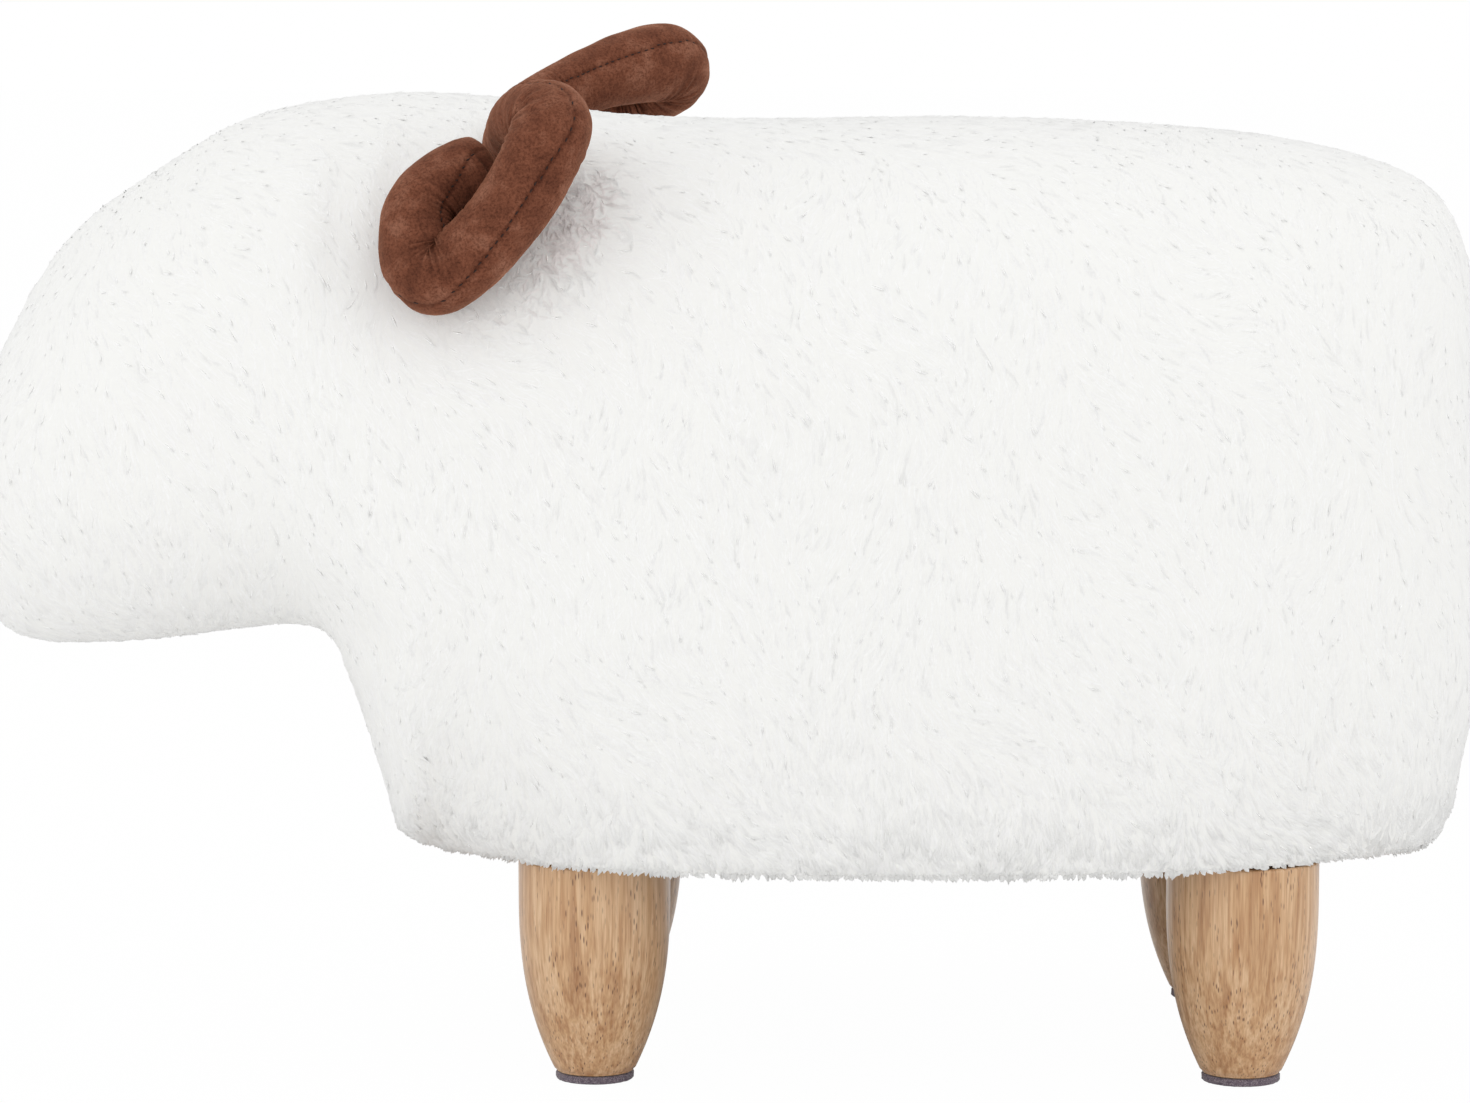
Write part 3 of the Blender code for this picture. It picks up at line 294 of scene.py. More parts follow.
def seam_valley(rows, cells, along, round_):
    """How far the backing sinks at the seams, in metres: a valley about 5 mm to each side. The
    long seams beside the crown and the seat are pulled flat."""
    cell = np.abs((cells + HALF_CELLS) % (2 * HALF_CELLS) - HALF_CELLS)
    per_row, per_cell = np.linalg.norm(along, axis=-1), np.linalg.norm(round_, axis=-1)
    valley = np.zeros(rows.shape)
    for kind, at, low, high in SEAMS:
        if kind == "row":
            beside = np.maximum(0, np.maximum(low - cell, cell - high)) * per_cell
            distance, deep = np.hypot((rows - at) * per_row, beside), 0.00045
        else:
            beside = np.maximum(0, np.maximum(low - rows, rows - high)) * per_row
            distance, deep = np.hypot((cell - at) * per_cell, beside), 0.0002
        valley = np.maximum(valley, deep * np.exp(-(distance / 0.0050) ** 2))
    return valley


# ---------------------------------------------------------------- meshes and materials
def put_mesh(name, points, faces, smooth=True):
    """A mesh object from an array of points and one or more arrays of faces."""
    mesh = bpy.data.meshes.new(name)
    groups = faces if isinstance(faces, list) else [faces]
    corners = np.concatenate([group.ravel() for group in groups]).astype(np.int32)
    sizes = np.concatenate([np.full(len(group), group.shape[1]) for group in groups])
    starts = (np.cumsum(sizes) - sizes).astype(np.int32)
    mesh.vertices.add(len(points))
    mesh.vertices.foreach_set("co", points.astype(np.float32).ravel())
    mesh.loops.add(len(corners))
    mesh.loops.foreach_set("vertex_index", corners)
    mesh.polygons.add(len(sizes))
    mesh.polygons.foreach_set("loop_start", starts)
    mesh.polygons.foreach_set("use_smooth", np.full(len(sizes), smooth))
    mesh.update(calc_edges=True)
    piece = bpy.data.objects.new(name, mesh)
    bpy.context.scene.collection.objects.link(piece)
    return piece


def give(piece, material, slot, *nodes):
    """Dress a piece, put it on the one body and let it stand for its CAD nodes."""
    piece.data.materials.append(material)
    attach(piece, "root")
    if nodes:
        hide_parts(*nodes)
    return piece


def point_values(piece, name, values):
    """A number or a vector for each point, which a material reads by name."""
    kind, key = ("FLOAT", "value") if values.ndim == 1 else ("FLOAT_VECTOR", "vector")
    layer = piece.data.attributes.new(name, kind, "POINT")
    layer.data.foreach_set(key, values.astype(np.float32).ravel())


def linear(code):
    """An sRGB hex colour as linear red, green, blue and alpha."""
    parts = [int(code[i:i + 2], 16) / 255 for i in (1, 3, 5)]
    return [c / 12.92 if c <= 0.04045 else ((c + 0.055) / 1.055) ** 2.4 for c in parts] + [1.0]


def grid_faces(rows, columns, closed=False):
    """Quads of a grid of points, row by row. A closed grid joins its last column to the first."""
    at = np.arange(rows * columns).reshape(rows, columns)
    right = np.roll(at, -1, axis=1) if closed else at[:, 1:]
    left = at if closed else at[:, :-1]
    return np.stack((left[:-1], right[:-1], right[1:], left[1:]), axis=-1).reshape(-1, 4)


def slab(outer, inner):
    """A closed sheet from two grids of points, whose rows and columns turn inward: first the
    outer side, then the inner one, then the wall round their edge."""
    n, m = outer.shape[:2]
    faces = grid_faces(n, m)
    at = np.arange(n * m).reshape(n, m)
    rim = np.concatenate((at[0], at[1:, -1], at[-1, -2::-1], at[-2:0:-1, 0]))
    after = np.roll(rim, -1)
    walls = np.stack((rim, after, after + n * m, rim + n * m), axis=-1)
    return (np.concatenate((outer.reshape(-1, 3), inner.reshape(-1, 3))),
            np.concatenate((faces[:, ::-1], faces + n * m, walls)))


def tube(rings):
    """A closed skin over rings of points, which run anticlockwise seen from the last ring. The
    first and the last ring close on their own middles."""
    n, m = rings.shape[:2]
    at = np.arange(n * m).reshape(n, m)
    ahead = np.roll(at, -1, axis=1)
    poles = np.stack((rings[0].mean(axis=0), rings[-1].mean(axis=0)))
    low = np.stack((ahead[0], at[0], np.full(m, n * m)), axis=-1)
    high = np.stack((at[-1], ahead[-1], np.full(m, n * m + 1)), axis=-1)
    faces = [grid_faces(n, m, True), np.concatenate((low, high))]
    return np.concatenate((rings.reshape(-1, 3), poles)), faces


WHITE = (1.0, 1.0, 1.0, 1.0)
MULTIPLIED = {"data_type": "RGBA", "blend_type": "MULTIPLY"}
ADDED = {"data_type": "RGBA", "blend_type": "ADD"}


def connect(node, **links):
    """Give inputs of a node, by name or as i0, i1 and so on, a value, an output of another node,
    or another node for its first output in use."""
    for key, value in links.items():
        numbered = key[0] == "i" and key[1:].isdigit()
        socket = node.inputs[int(key[1:]) if numbered else key.replace("_", " ")]
        if isinstance(value, bpy.types.Node):
            value = next(output for output in value.outputs if output.enabled)
        if isinstance(value, bpy.types.NodeSocket):
            node.id_data.links.new(value, socket)
        else:
            socket.default_value = value
    return node


def add(owner, kind, settings=None, stops=(), **links):
    """Add a node to a material or the world: its settings, a ramp's stops as (place, hex colour),
    and its inputs."""
    node = owner.node_tree.nodes.new("ShaderNode" + kind)
    for key, value in (settings or {}).items():
        setattr(node, key, value)
    for _ in stops[2:]:
        node.color_ramp.elements.new(0.5)
    for at, (place, code) in enumerate(stops):
        element = node.color_ramp.elements[at]
        element.position, element.color = place, linear(code)
    return connect(node, **links)


def new_material(name, **settings):
    """A material with one Principled shader, and its constant values on the shader's sockets."""
    material = bpy.data.materials.new(name)
    material.use_nodes = True
    return material, connect(material.node_tree.nodes["Principled BSDF"], **settings)


# ---------------------------------------------------------------- plush
# each panel's patches of the form: from station to station, and from cell to cell
PANELS = {
    "face": [(0, FACE_SEAM, -HALF_CELLS, HALF_CELLS)],
    "crown": [(FACE_SEAM, CROWN_SEAM, -TOP_CELLS, TOP_CELLS)],
    "seat_top": [(CROWN_SEAM, HEM_REAR, -TOP_CELLS, TOP_CELLS)],
    "cheek_left": [(FACE_SEAM, NECK_SEAM, -HEM_CELL, -TOP_CELLS)],
    "cheek_right": [(FACE_SEAM, NECK_SEAM, TOP_CELLS, HEM_CELL)],
    "side_left": [(NECK_SEAM, HEM_FRONT, -HEM_CELL, -TOP_CELLS),
                  (HEM_FRONT, REAR_SEAM, -PAST_HEM, -TOP_CELLS)],
    "side_right": [(NECK_SEAM, HEM_FRONT, TOP_CELLS, HEM_CELL),
                   (HEM_FRONT, REAR_SEAM, TOP_CELLS, PAST_HEM)],
    "chin": [(FACE_SEAM, NECK_SEAM, HEM_CELL, FAR_HEM)],
    "chest": [(NECK_SEAM, HEM_FRONT, HEM_CELL, FAR_HEM)],
    "rump": [(REAR_SEAM, HEM_REAR, -PAST_HEM, -TOP_CELLS), (REAR_SEAM, HEM_REAR, TOP_CELLS, PAST_HEM),
             (HEM_REAR, LAST, -HALF_CELLS, HALF_CELLS)],
}


def even(low, high, lengths, pitch):
    """Numbers from low to high that stand about a pitch apart, by the mean of some arc lengths."""
    at = np.linspace(low, high, lengths.shape[0] + 1)
    sums = np.concatenate(([0], np.cumsum(lengths.mean(axis=1))))
    count = max(2, int(round(sums[-1] / pitch)) + 1)
    return np.interp(np.linspace(0, sums[-1], count), sums, at)


def patch_steps(patch, pitch):
    """Station and cell numbers that cut a patch of the form into about square cells."""
    r0, r1, c0, c1 = patch
    rows, cells = np.linspace(r0, r1, 61), np.linspace(c0, c1, 61)
    points = form(rows[:, None], cells[None, :])
    along = np.linalg.norm(np.diff(points, axis=0), axis=-1)
    around = np.linalg.norm(np.diff(points, axis=1), axis=-1).T
    for hem in (-HEM_CELL, HEM_CELL):
        if c0 < hem < c1 and r1 - r0 > 5:
            inner = (c0, hem) if hem < 0 else (hem, c1)
            outer = (hem, c1) if hem < 0 else (c0, hem)
            span = (outer[0] <= cells[:-1]) & (cells[1:] <= outer[1] + 1e-9)
            side = even(*outer, around[span], pitch)
            under = np.linspace(*inner, 4)
            return even(r0, r1, along, pitch), np.unique(np.concatenate((side, under)))
    return even(r0, r1, along, pitch), even(c0, c1, around, pitch)


def backing(patch):
    """The backing cloth of one patch: two grids, the outer at the pile's depth under the form and
    the inner a cloth's thickness below, joined round the edge."""
    rows, cells = patch_steps(patch, BACKING_PITCH)
    grid_rows, grid_cells = np.meshgrid(rows, cells, indexing="ij")
    points, along, round_, out = form_frame(grid_rows, grid_cells)
    # at the hem's corner, halfway between the side and the underside
    turn = np.where(grid_cells < 0, -0.06, 0.06)
    corner = unit(form_frame(grid_rows, grid_cells - turn)[3]
                  + form_frame(grid_rows, grid_cells + turn)[3])
    out = np.where((np.abs(np.abs(grid_cells) - HEM_CELL) < 0.01)[..., None], corner, out)
    dip = seam_valley(grid_rows, grid_cells, along, round_)[..., None]
    outer = points - out * (PILE_DEPTH + dip)
    inner = outer - out * BACKING
    upward = out.reshape(-1, 3)
    return (*slab(outer, inner), np.concatenate((upward, -upward)))


def scatter(patch, pitch, seed):
    """Places for locks on a patch, about a pitch apart.

    Many places are drawn at random, as many on each bit of the form as its area asks for. One is
    kept in each small cube of space that the patch runs through, and of those a share that makes
    up for the way that the patch slants through the cubes.
    """
    turn = np.random.default_rng(seed)
    r0, r1, c0, c1 = patch
    rows, cells = np.linspace(r0, r1, 121), np.linspace(c0, c1, 121)
    points = form(rows[:, None], cells[None, :])
    across, down = points[1:, 1:] - points[:-1, :-1], points[1:, :-1] - points[:-1, 1:]
    area = np.linalg.norm(np.cross(across, down), axis=-1) / 2
    total = area.sum()
    many = int(total / pitch**2 * 5)
    picked = np.searchsorted(np.cumsum(area.ravel()) / total, turn.random(many))
    i, j = np.unravel_index(picked.clip(0, area.size - 1), area.shape)
    rows = r0 + (i + turn.random(many)) * (r1 - r0) / 120
    cells = c0 + (j + turn.random(many)) * (c1 - c0) / 120
    cubes = np.floor(form(rows, cells) / pitch + 5000).astype(np.int64)
    keys = (cubes[:, 0] << 40) + (cubes[:, 1] << 20) + cubes[:, 2]
    kept = np.unique(keys, return_index=True)[1]
    rows, cells = rows[kept], cells[kept]
    out = form_frame(rows, cells)[3]
    chosen = turn.random(len(rows)) < 1 / np.abs(out).sum(axis=-1)
    return rows[chosen], cells[chosen]


def ruffled(points):
    """How ruffled the pile is, from 0 to 1: below and behind the left horn, which rubs on it."""
    rough = np.zeros(len(points))
    for x, z, reach, share in RUBBED:
        away = (points[:, 0] - x) ** 2 + (points[:, 2] - z) ** 2
        rough += share * np.exp(-away / reach**2) * (points[:, 1] < 0)
    return np.clip(rough, 0, 1)


def lively(points):
    """How much the pile stands up, as a share: combed nearly flat above, tufted near the hem and
    under the cheeks."""
    level = np.interp(points[:, 0], (-0.20, -0.14), (0.262, 0.195))
    tufted = 1.5 * np.clip((0.122 - points[:, 2]) / 0.025, 0, 1)
    return 0.36 + 0.64 * np.clip((level - points[:, 2]) / 0.085, 0, 1) ** 1.3 + tufted


def lay_of_pile(points, out, seed, rough):
    """Which way the pile lies: down the sides, back over the top, with slow swirls and small ones."""
    wish = np.zeros_like(points)
    level = np.clip(out[:, 2], 0, 1)
    wish[:, 0] = 0.30 + 0.40 * level
    wish[:, 1] = 0.5 * np.sign(points[:, 1]) * level * np.clip(np.abs(points[:, 1]) / 0.05, 0, 1)
    wish[:, 2] = -1.0
    lie = unit(wish - out * dot(wish, out))
    turn = 0.42 * waves(points, 0.130, 11) + 0.30 * waves(points, 0.038, 12)
    turn += 0.26 * waves(points, 0.013, 13)
    turn += np.random.default_rng(seed).normal(0, 0.16, len(points)) * (1 + 2.5 * rough)
    turn += 1.2 * rough * waves(points, 0.009, 16)
    side = np.cross(out, lie)
    return lie * np.cos(turn)[:, None] + side * np.sin(turn)[:, None]


def locks(rows, cells, seed, length, width, height, sunk, loose=0.0, hang=0.0):
    """Closed three-sided locks of pile, each a long low mound that lies on the backing.

    A lock starts sunk in the backing, follows the form the way the pile lies, is highest at three
    fifths of its length and runs out to a tip. Its two lower edges stay in the backing, so no gap
    opens under it. The share that it is loose lifts its outer half off like a stray tuft, and near
    the hem, or where it is told to hang, it hangs straight down past the edge. Beside the left horn
    the pile is ruffled. Returns points, faces, and per point how far up the lock it is, the lock's
    shade and the direction to shade it by.
    """
    turn = np.random.default_rng(seed)
    points, along, round_, out = form_frame(rows, cells)
    dip = PILE_DEPTH + seam_valley(rows, cells, along, round_)[:, None]
    rough = ruffled(points)
    lie = lay_of_pile(points, out, seed + 1, rough)
    side = np.cross(out, lie)
    # steps of the station and cell numbers that go a metre the way the pile lies
    aa, bb, ab = (dot(along, along), dot(round_, round_), dot(along, round_))
    la, lb = dot(along, lie), dot(round_, lie)
    whole = np.maximum(aa * bb - ab**2, 1e-12)
    row_step, cell_step = ((la * bb - lb * ab) / whole)[:, 0], ((lb * aa - la * ab) / whole)[:, 0]
    clump = waves(points, 0.011, 14)
    length = length * turn.uniform(0.75, 1.25, len(rows)) * (1 + 0.10 * clump)
    width = width * turn.uniform(0.75, 1.2, len(rows))
    alive = np.maximum(lively(points), 0.95 * rough)
    proud = turn.random(len(rows)) < 0.035
    stands = alive * turn.uniform(0.55, 1.35, len(rows)) * (1 + 0.35 * clump)
    height = height * np.where(proud, 1.25, stands) * (1 + 1.1 * rough)
    bend = (turn.normal(0, 0.10, len(rows)) + 0.10 * waves(points, 0.009, 15)) * (1 + 2.5 * rough)
    length = length * (1 - 0.35 * rough)
    hemmed = (rows > HEM_ROWS[0]) & (rows < HEM_ROWS[1]) & (np.abs(cells) < HEM_CELL + 0.01)
    hemmed |= (rows >= HEM_REAR) & (rows < REAR_FRINGE) & (np.abs(cells) > HEM_CELL)
    fall = np.maximum(np.clip((np.abs(cells) - 13.3) / 0.3, 0, 1), hang) * hemmed
    hang_by = HEM_HANG * turn.uniform(0.1, 1.4, len(rows)) * (1 + 0.3 * waves(points, 0.012, 17))
    over = np.maximum(points[:, 2] - HEM_HEIGHT + hang_by, 0.0022)
    length = np.where(hemmed & (np.abs(cells) > 12.4), np.minimum(length, over), length)
    # where the form turns too fast to be followed, as at the rump's corners, the locks are short
    ahead = form(np.clip(rows + row_step * length, 0.01, LAST - 0.01), cells + cell_step * length)
    fast = np.linalg.norm(ahead - points - lie * length[:, None], axis=-1) > 0.35 * length
    length = np.where(fast & (fall < 0.5), 0.45 * length, length)
    base = points - out * dip

    def spine(share):
        reach = length * share
        next_rows = np.clip(rows + row_step * reach, 0.01, LAST - 0.01)
        next_cells = cells + cell_step * reach
        sunk_there = out * (PILE_DEPTH + seam_valley(next_rows, next_cells, along, round_)[:, None])
        follow = form(next_rows, next_cells) - sunk_there
        straight = points - sunk_there + lie * reach[:, None]
        steep = np.linalg.norm(follow - straight, axis=-1) > 0.5 * reach
        mix = np.maximum(fall, steep)[:, None]
        return follow * (1 - mix) + straight * mix + side * (length * bend * share**2)[:, None]

    low, middle, tip = base, spine(0.58), spine(1.0)
    lifted = loose * length
    rings = []
    for centre, wide, high, lift in ((low, 0.34, 0.1, 0.0), (middle, 0.50, 1.0, 0.35)):
        half, up = side * (width * wide)[:, None], out * height[:, None]
        down = out * (sunk - lifted * lift)[:, None]
        rings += [centre - half - down, centre + half - down,
                  centre + up * high + out * (lifted * lift)[:, None]]
    tip = tip + out * (lifted - sunk * 0.3 * (loose < 0.01))[:, None]
    tip = tip + out * (fall * height * 0.4)[:, None]
    points = np.stack(rings + [tip], axis=1)
    template = np.array([[0, 2, 1], [0, 1, 4], [0, 4, 3], [1, 2, 5], [1, 5, 4], [2, 0, 3], [2, 3, 5],
                         [3, 4, 6], [4, 5, 6], [5, 3, 6]])
    faces = (template[None] + 7 * np.arange(len(rows))[:, None, None]).reshape(-1, 3)
    high = np.tile([0, 0, 0.2, 0.3, 0.3, 0.9, 1.0], len(rows))
    shade = np.repeat((0.12 + 0.88 * turn.random(len(rows))) * (1 - rough), 7)
    tilt = np.array([-0.5, 0.5, 0, -0.5, 0.5, 0, 0])
    slope = np.array([-0.1, -0.1, -0.1, 0, 0, 0, 0.25])
    if np.any(loose > 0):
        # a stray tuft is shaded round, as it is
        normals = unit(np.stack((0.1 * out - side, 0.1 * out + side, out) * 2 + (out + 0.5 * lie,), axis=1))
    else:
        leaning = SIDE_LIGHT * np.maximum(alive, proud * 0.8)[:, None, None]
        aside = tilt[None, :, None] * side[:, None] + slope[None, :, None] * lie[:, None]
        normals = unit(out[:, None] + leaning * aside)
    return points.reshape(-1, 3), faces, high, shade, normals.reshape(-1, 3)


def fringe_strips(patch):
    """The strips of a patch that carry a fringe: along the hem of a side, and at the back in front
    of the base board's edge. Each has its own step of the seed."""
    r0, r1, c0, c1 = patch
    if r0 == HEM_REAR:
        rows = HEM_REAR + 0.02, REAR_FRINGE - 0.02
        return {8: (*rows, -HALF_CELLS, -HEM_CELL - 0.05), 9: (*rows, HEM_CELL + 0.05, HALF_CELLS)}
    if r0 < HEM_FRONT:
        return {}
    if c0 < HEM_CELL < c1:
        return {7: (r0, r1, HEM_CELL - 0.60, HEM_CELL - 0.03)}
    return {7: (r0, r1, 0.03 - HEM_CELL, 0.60 - HEM_CELL)} if c0 < -HEM_CELL < c1 else {}


def plush_panel(name, patches, material, seed):
    """One sewn panel: its backing, its pile and a few stray tufts, as one padded piece."""
    points, quads, triangles, heights, shades, normals = [], [], [], [], [], []
    count = 0
    for number, patch in enumerate(patches):
        cloth, faces, upward = backing(patch)
        quads.append(faces + count)
        parts = [(cloth, None, np.zeros(len(cloth)), np.full(len(cloth), 0.5), upward)]
        at = seed + 10 * number
        grown = patch
        if HEM_FRONT <= patch[0] < HEM_REAR:
            # no pile grows on the backing that is turned in past the hem
            grown = (*patch[:2], *np.clip(patch[2:], 0.03 - HEM_CELL, HEM_CELL - 0.03))
        parts.append(locks(*scatter(grown, LOCK_PITCH, at), at, *LOCK))
        rows, cells = scatter(grown, STRAY_PITCH, at + 5)
        loose = np.clip(np.random.default_rng(at + 6).normal(0.08, 0.04, len(rows)), 0.02, 0.25)
        parts.append(locks(rows, cells, at + 5, *STRAY, loose))
        for step, strip in fringe_strips(patch).items():
            parts.append(locks(*scatter(strip, FRINGE_PITCH, at + step), at + step, *FRINGE, 0.0, 1.0))
        for part, faces, height, shade, upward in parts:
            if faces is not None:
                triangles.append(faces + count)
            points.append(part)
            heights.append(height)
            shades.append(shade)
            normals.append(upward)
            count += len(part)
    piece = put_mesh("plush_" + name, np.concatenate(points),
                     [np.concatenate(quads), np.concatenate(triangles)])
    piece.data.normals_split_custom_set_from_vertices(np.concatenate(normals).astype(np.float32))
    point_values(piece, "height", np.concatenate(heights))
    point_values(piece, "shade", np.concatenate(shades))
    give(piece, material, "plush", "cover_" + name)


def plush_material():
    """Polyester rabbit-style plush: matt white fibres that scatter light among themselves, so it
    has hardly any shadow in it and only a soft glow at its edges."""
    material, shader = new_material("white_polyester_plush", Roughness=0.95, Specular_IOR_Level=0.2,
                                    Sheen_Weight=0.25, Sheen_Roughness=0.6)
    height = add(material, "Attribute", {"attribute_name": "height"}).outputs["Fac"]
    shade = add(material, "Attribute", {"attribute_name": "shade"}).outputs["Fac"]
    # painted shade: the backing and the roots of the locks a little darker and their tips lighter, for the
    # shade deep in the pile
    tone = add(material, "ValToRGB", stops=((0.0, "#F4F4F2"), (0.5, "#F7F7F6"), (1.0, "#F9F9F8")), Fac=height)
    # no two locks are quite alike, and where the pile is ruffled below and behind the left horn its colour is a
    # little pinker
    vary = add(material, "ValToRGB", stops=((0.0, "#FFFAF9"), (0.12, "#FBFBFA"), (1.0, "#FFFFFF")), Fac=shade)
    connect(shader, Base_Color=add(material, "Mix", MULTIPLIED, i0=1.0, i6=tone, i7=vary))
    return material


PLUSH = plush_material()
for number, (name, patches) in enumerate(PANELS.items()):
    plush_panel(name, patches, PLUSH, 1000 * (number + 1))


# ---------------------------------------------------------------- what the body holds inside
def inner_material(name, colours, scale, stretch=(1, 1, 1), **settings):
    """A plain material of the hidden frame: three tones of a noise, with a bump of the same."""
    material, shader = new_material(name, **settings)
    place = add(material, "TexCoord").outputs["Object"]
    drawn = add(material, "Mapping", Vector=place, Scale=stretch)
    noise = add(material, "TexNoise", Vector=drawn, Scale=scale, Detail=4.0, Roughness=0.65)
    tone = add(material, "ValToRGB", stops=tuple(zip((0.3, 0.5, 0.7), colours)), Fac=noise)
    bump = add(material, "Bump", Height=noise, Strength=0.3, Distance=0.0003)
    connect(shader, Base_Color=tone, Normal=bump)
    return material


INNER = {
    # face veneer with grain along the stool, 2 to 3 mm bands
    "plywood": inner_material("raw_plywood", ("#B08A5C", "#C7A273", "#D6B68A"), 380.0, (0.04, 1, 1),
                              Roughness=0.7),
    # upright grain, bands of 3 mm
    "pine": inner_material("planed_pine", ("#C4955C", "#DDB57E", "#E8C798"), 330.0, (1, 1, 0.04),
                           Roughness=0.6),
    # open cells of about 1 mm
    "foam": inner_material("seat_foam", ("#D5C58B", "#E3D6A6", "#EEE4BE"), 1000.0, Roughness=0.95),
    # loose fibre, tufts of 3 mm
    "fibre": inner_material("polyester_fill", ("#D6D6D4", "#E6E6E4", "#F2F2F0"), 330.0, Roughness=0.95),
    # zinc plating with a faint spangle of 1 mm
    "zinc": inner_material("zinc_plated_steel", ("#9C9EA2", "#ABADB1", "#BABCC0"), 1000.0,
                           Metallic=1.0, Roughness=0.35),
}


def padding(name):
    """A block of foam as in the part, a little smaller, settled as the cover over it is."""
    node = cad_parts[name + "_foam"]
    mesh = node.data
    mesh.calc_loop_triangles()
    points = np.empty(3 * len(mesh.vertices), np.float32)
    mesh.vertices.foreach_get("co", points)
    faces = np.empty(3 * len(mesh.loop_triangles), np.int32)
    mesh.loop_triangles.foreach_get("vertices", faces)
    placed = np.array(node.matrix_world)
    points = points.reshape(-1, 3).astype(float) @ placed[:3, :3].T + placed[:3, 3]
    centre = (points.min(axis=0) + points.max(axis=0)) / 2
    points = settle(centre + 0.975 * (points - centre))
    block = put_mesh("padding_" + name, points, faces.reshape(-1, 3), smooth=False)
    give(block, INNER["foam"], "foam", name + "_foam")


for name in ("chest", "head", "rump"):
    padding(name)
# what each hidden solid is made of, by a part of its name
KINDS = (("_board", "plywood"), ("corner_block", "pine"), ("foam", "foam"), ("hanger_bolt", "zinc"),
         ("t_nut", "zinc"), ("_screw_", "zinc"))
for name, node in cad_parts.items():
    kinds = [kind for part, kind in KINDS if part in name]
    if kinds:
        node.data.materials.clear()
        node.data.materials.append(INNER[kinds[0]])


# ---------------------------------------------------------------- horns
def along_curve(keys, count):
    """Points on a Catmull-Rom curve through some rows, and how far along it each one is."""
    ends = np.vstack((2 * keys[0] - keys[1], keys, 2 * keys[-1] - keys[-2]))
    fine = catmull(ends, np.linspace(1, len(keys), 40 * len(keys)) - 1)
    sums = np.concatenate(([0], np.cumsum(np.linalg.norm(np.diff(fine[:, :3], axis=0), axis=1))))
    at = np.linspace(0, sums[-1], count)
    return read(at, sums, fine), at


def ring_frames(ways):
    """Two directions across each step of a path, turning as little as they can along it."""
    start = len(ways) // 2
    first = np.cross(ways[start], (0.0, 0.0, 1.0))
    across = np.empty_like(ways)
    for steps in (range(start, len(ways)), range(start, -1, -1)):
        side = first
        for i in steps:
            side = side - ways[i] * side.dot(ways[i])
            side /= np.linalg.norm(side)
            across[i] = side
    return across, np.cross(ways, across)


def stuffing(name, middle, ring, reach, tip):
    """The fibre in a horn: a lumpy filling that lies a cloth's thickness inside the velour."""
    middle, ring, reach, tip = middle[::4], ring[::4, ::4], reach[::4, ::4], tip[::4]
    places = middle[:, None] + ring * reach[..., None]
    lump = waves(places.reshape(-1, 3), 0.012, 34).reshape(reach.shape)
    thin = (reach - HORN_CLOTH + 0.0003 * lump) * np.sqrt(1 - (1 - tip) ** 2)
    points, faces = tube((middle[:, None] + ring * (np.maximum(thin, 0) + 2e-5)[..., None])[1:-1])
    piece = put_mesh("horn_filling_" + name, points, faces)
    give(piece, INNER["fibre"], "fibre", "horn_stuffing_" + name)


def seam_angles(name, at, ways, across, up):
    """Where the first seam lies round each ring, in radians. It is carried over the places where
    the horn points at the camera, because HORN_SEAMS counts from the side that faces it."""
    facing = np.array([0.0, -1.0, 0.0]) - ways * -ways[:, 1:2]
    clear = np.linalg.norm(facing, axis=1) > 0.45
    facing = unit(facing)
    seam = np.radians(np.interp(at / at[-1], *HORN_SEAMS[name]))[:, None]
    way = facing * np.cos(seam) + np.cross(facing, ways) * np.sin(seam)
    angle = np.arctan2((way * up).sum(1), (way * across).sum(1))
    return smoothed(np.interp(at, at[clear], np.unwrap(angle[clear])), 35)


def stitches(name, rings, middle, ways, at, seam, end):
    """The thread of a horn's two seams: a small bead of yarn for each stitch, half sunk in the
    groove."""
    places = np.arange(0.004, end, STITCH_PITCH)
    row = np.round(np.interp(places, at, np.arange(HORN_RINGS))).astype(int)
    way, home = unit(read(places, at, ways)), read(places, at, middle)
    beads = []
    for turned in (0.0, math.pi):
        angle = np.interp(places, at, seam) + turned
        column = (angle / (2 * math.pi) * HORN_SIDES) % HORN_SIDES
        spot = rings[row, np.round(column).astype(int) % HORN_SIDES]
        outward = unit(spot - home)
        beads.append((spot + outward * 0.00016, way, outward))
    spot, way, outward = (np.concatenate(values)[:, None, None] for values in zip(*beads))
    beside = np.cross(way, outward)
    steps, sides = 7, 8
    lines = np.linspace(-1, 1, steps)
    turns = np.linspace(0, 2 * math.pi, sides, endpoint=False)[None, None, :, None]
    swell = np.sqrt(np.maximum(1 - np.abs(lines) ** 2.4, 0.02))[None, :, None, None]
    half = 0.33 * STITCH_PITCH
    points = (spot + way * (half * lines)[None, :, None, None]
              + THREAD_RADIUS * swell * (np.cos(turns) * beside + np.sin(turns) * outward))
    skin = grid_faces(steps, sides, True)
    caps = np.stack([np.arange(sides)[::-1], (steps - 1) * sides + np.arange(sides)])
    starts = (steps * sides * np.arange(len(spot)))[:, None, None]
    thread = put_mesh("horn_thread_" + name, points.reshape(-1, 3),
                      [(skin[None] + starts).reshape(-1, 4), (caps[None] + starts).reshape(-1, sides)])
    give(thread, THREAD, "velour")


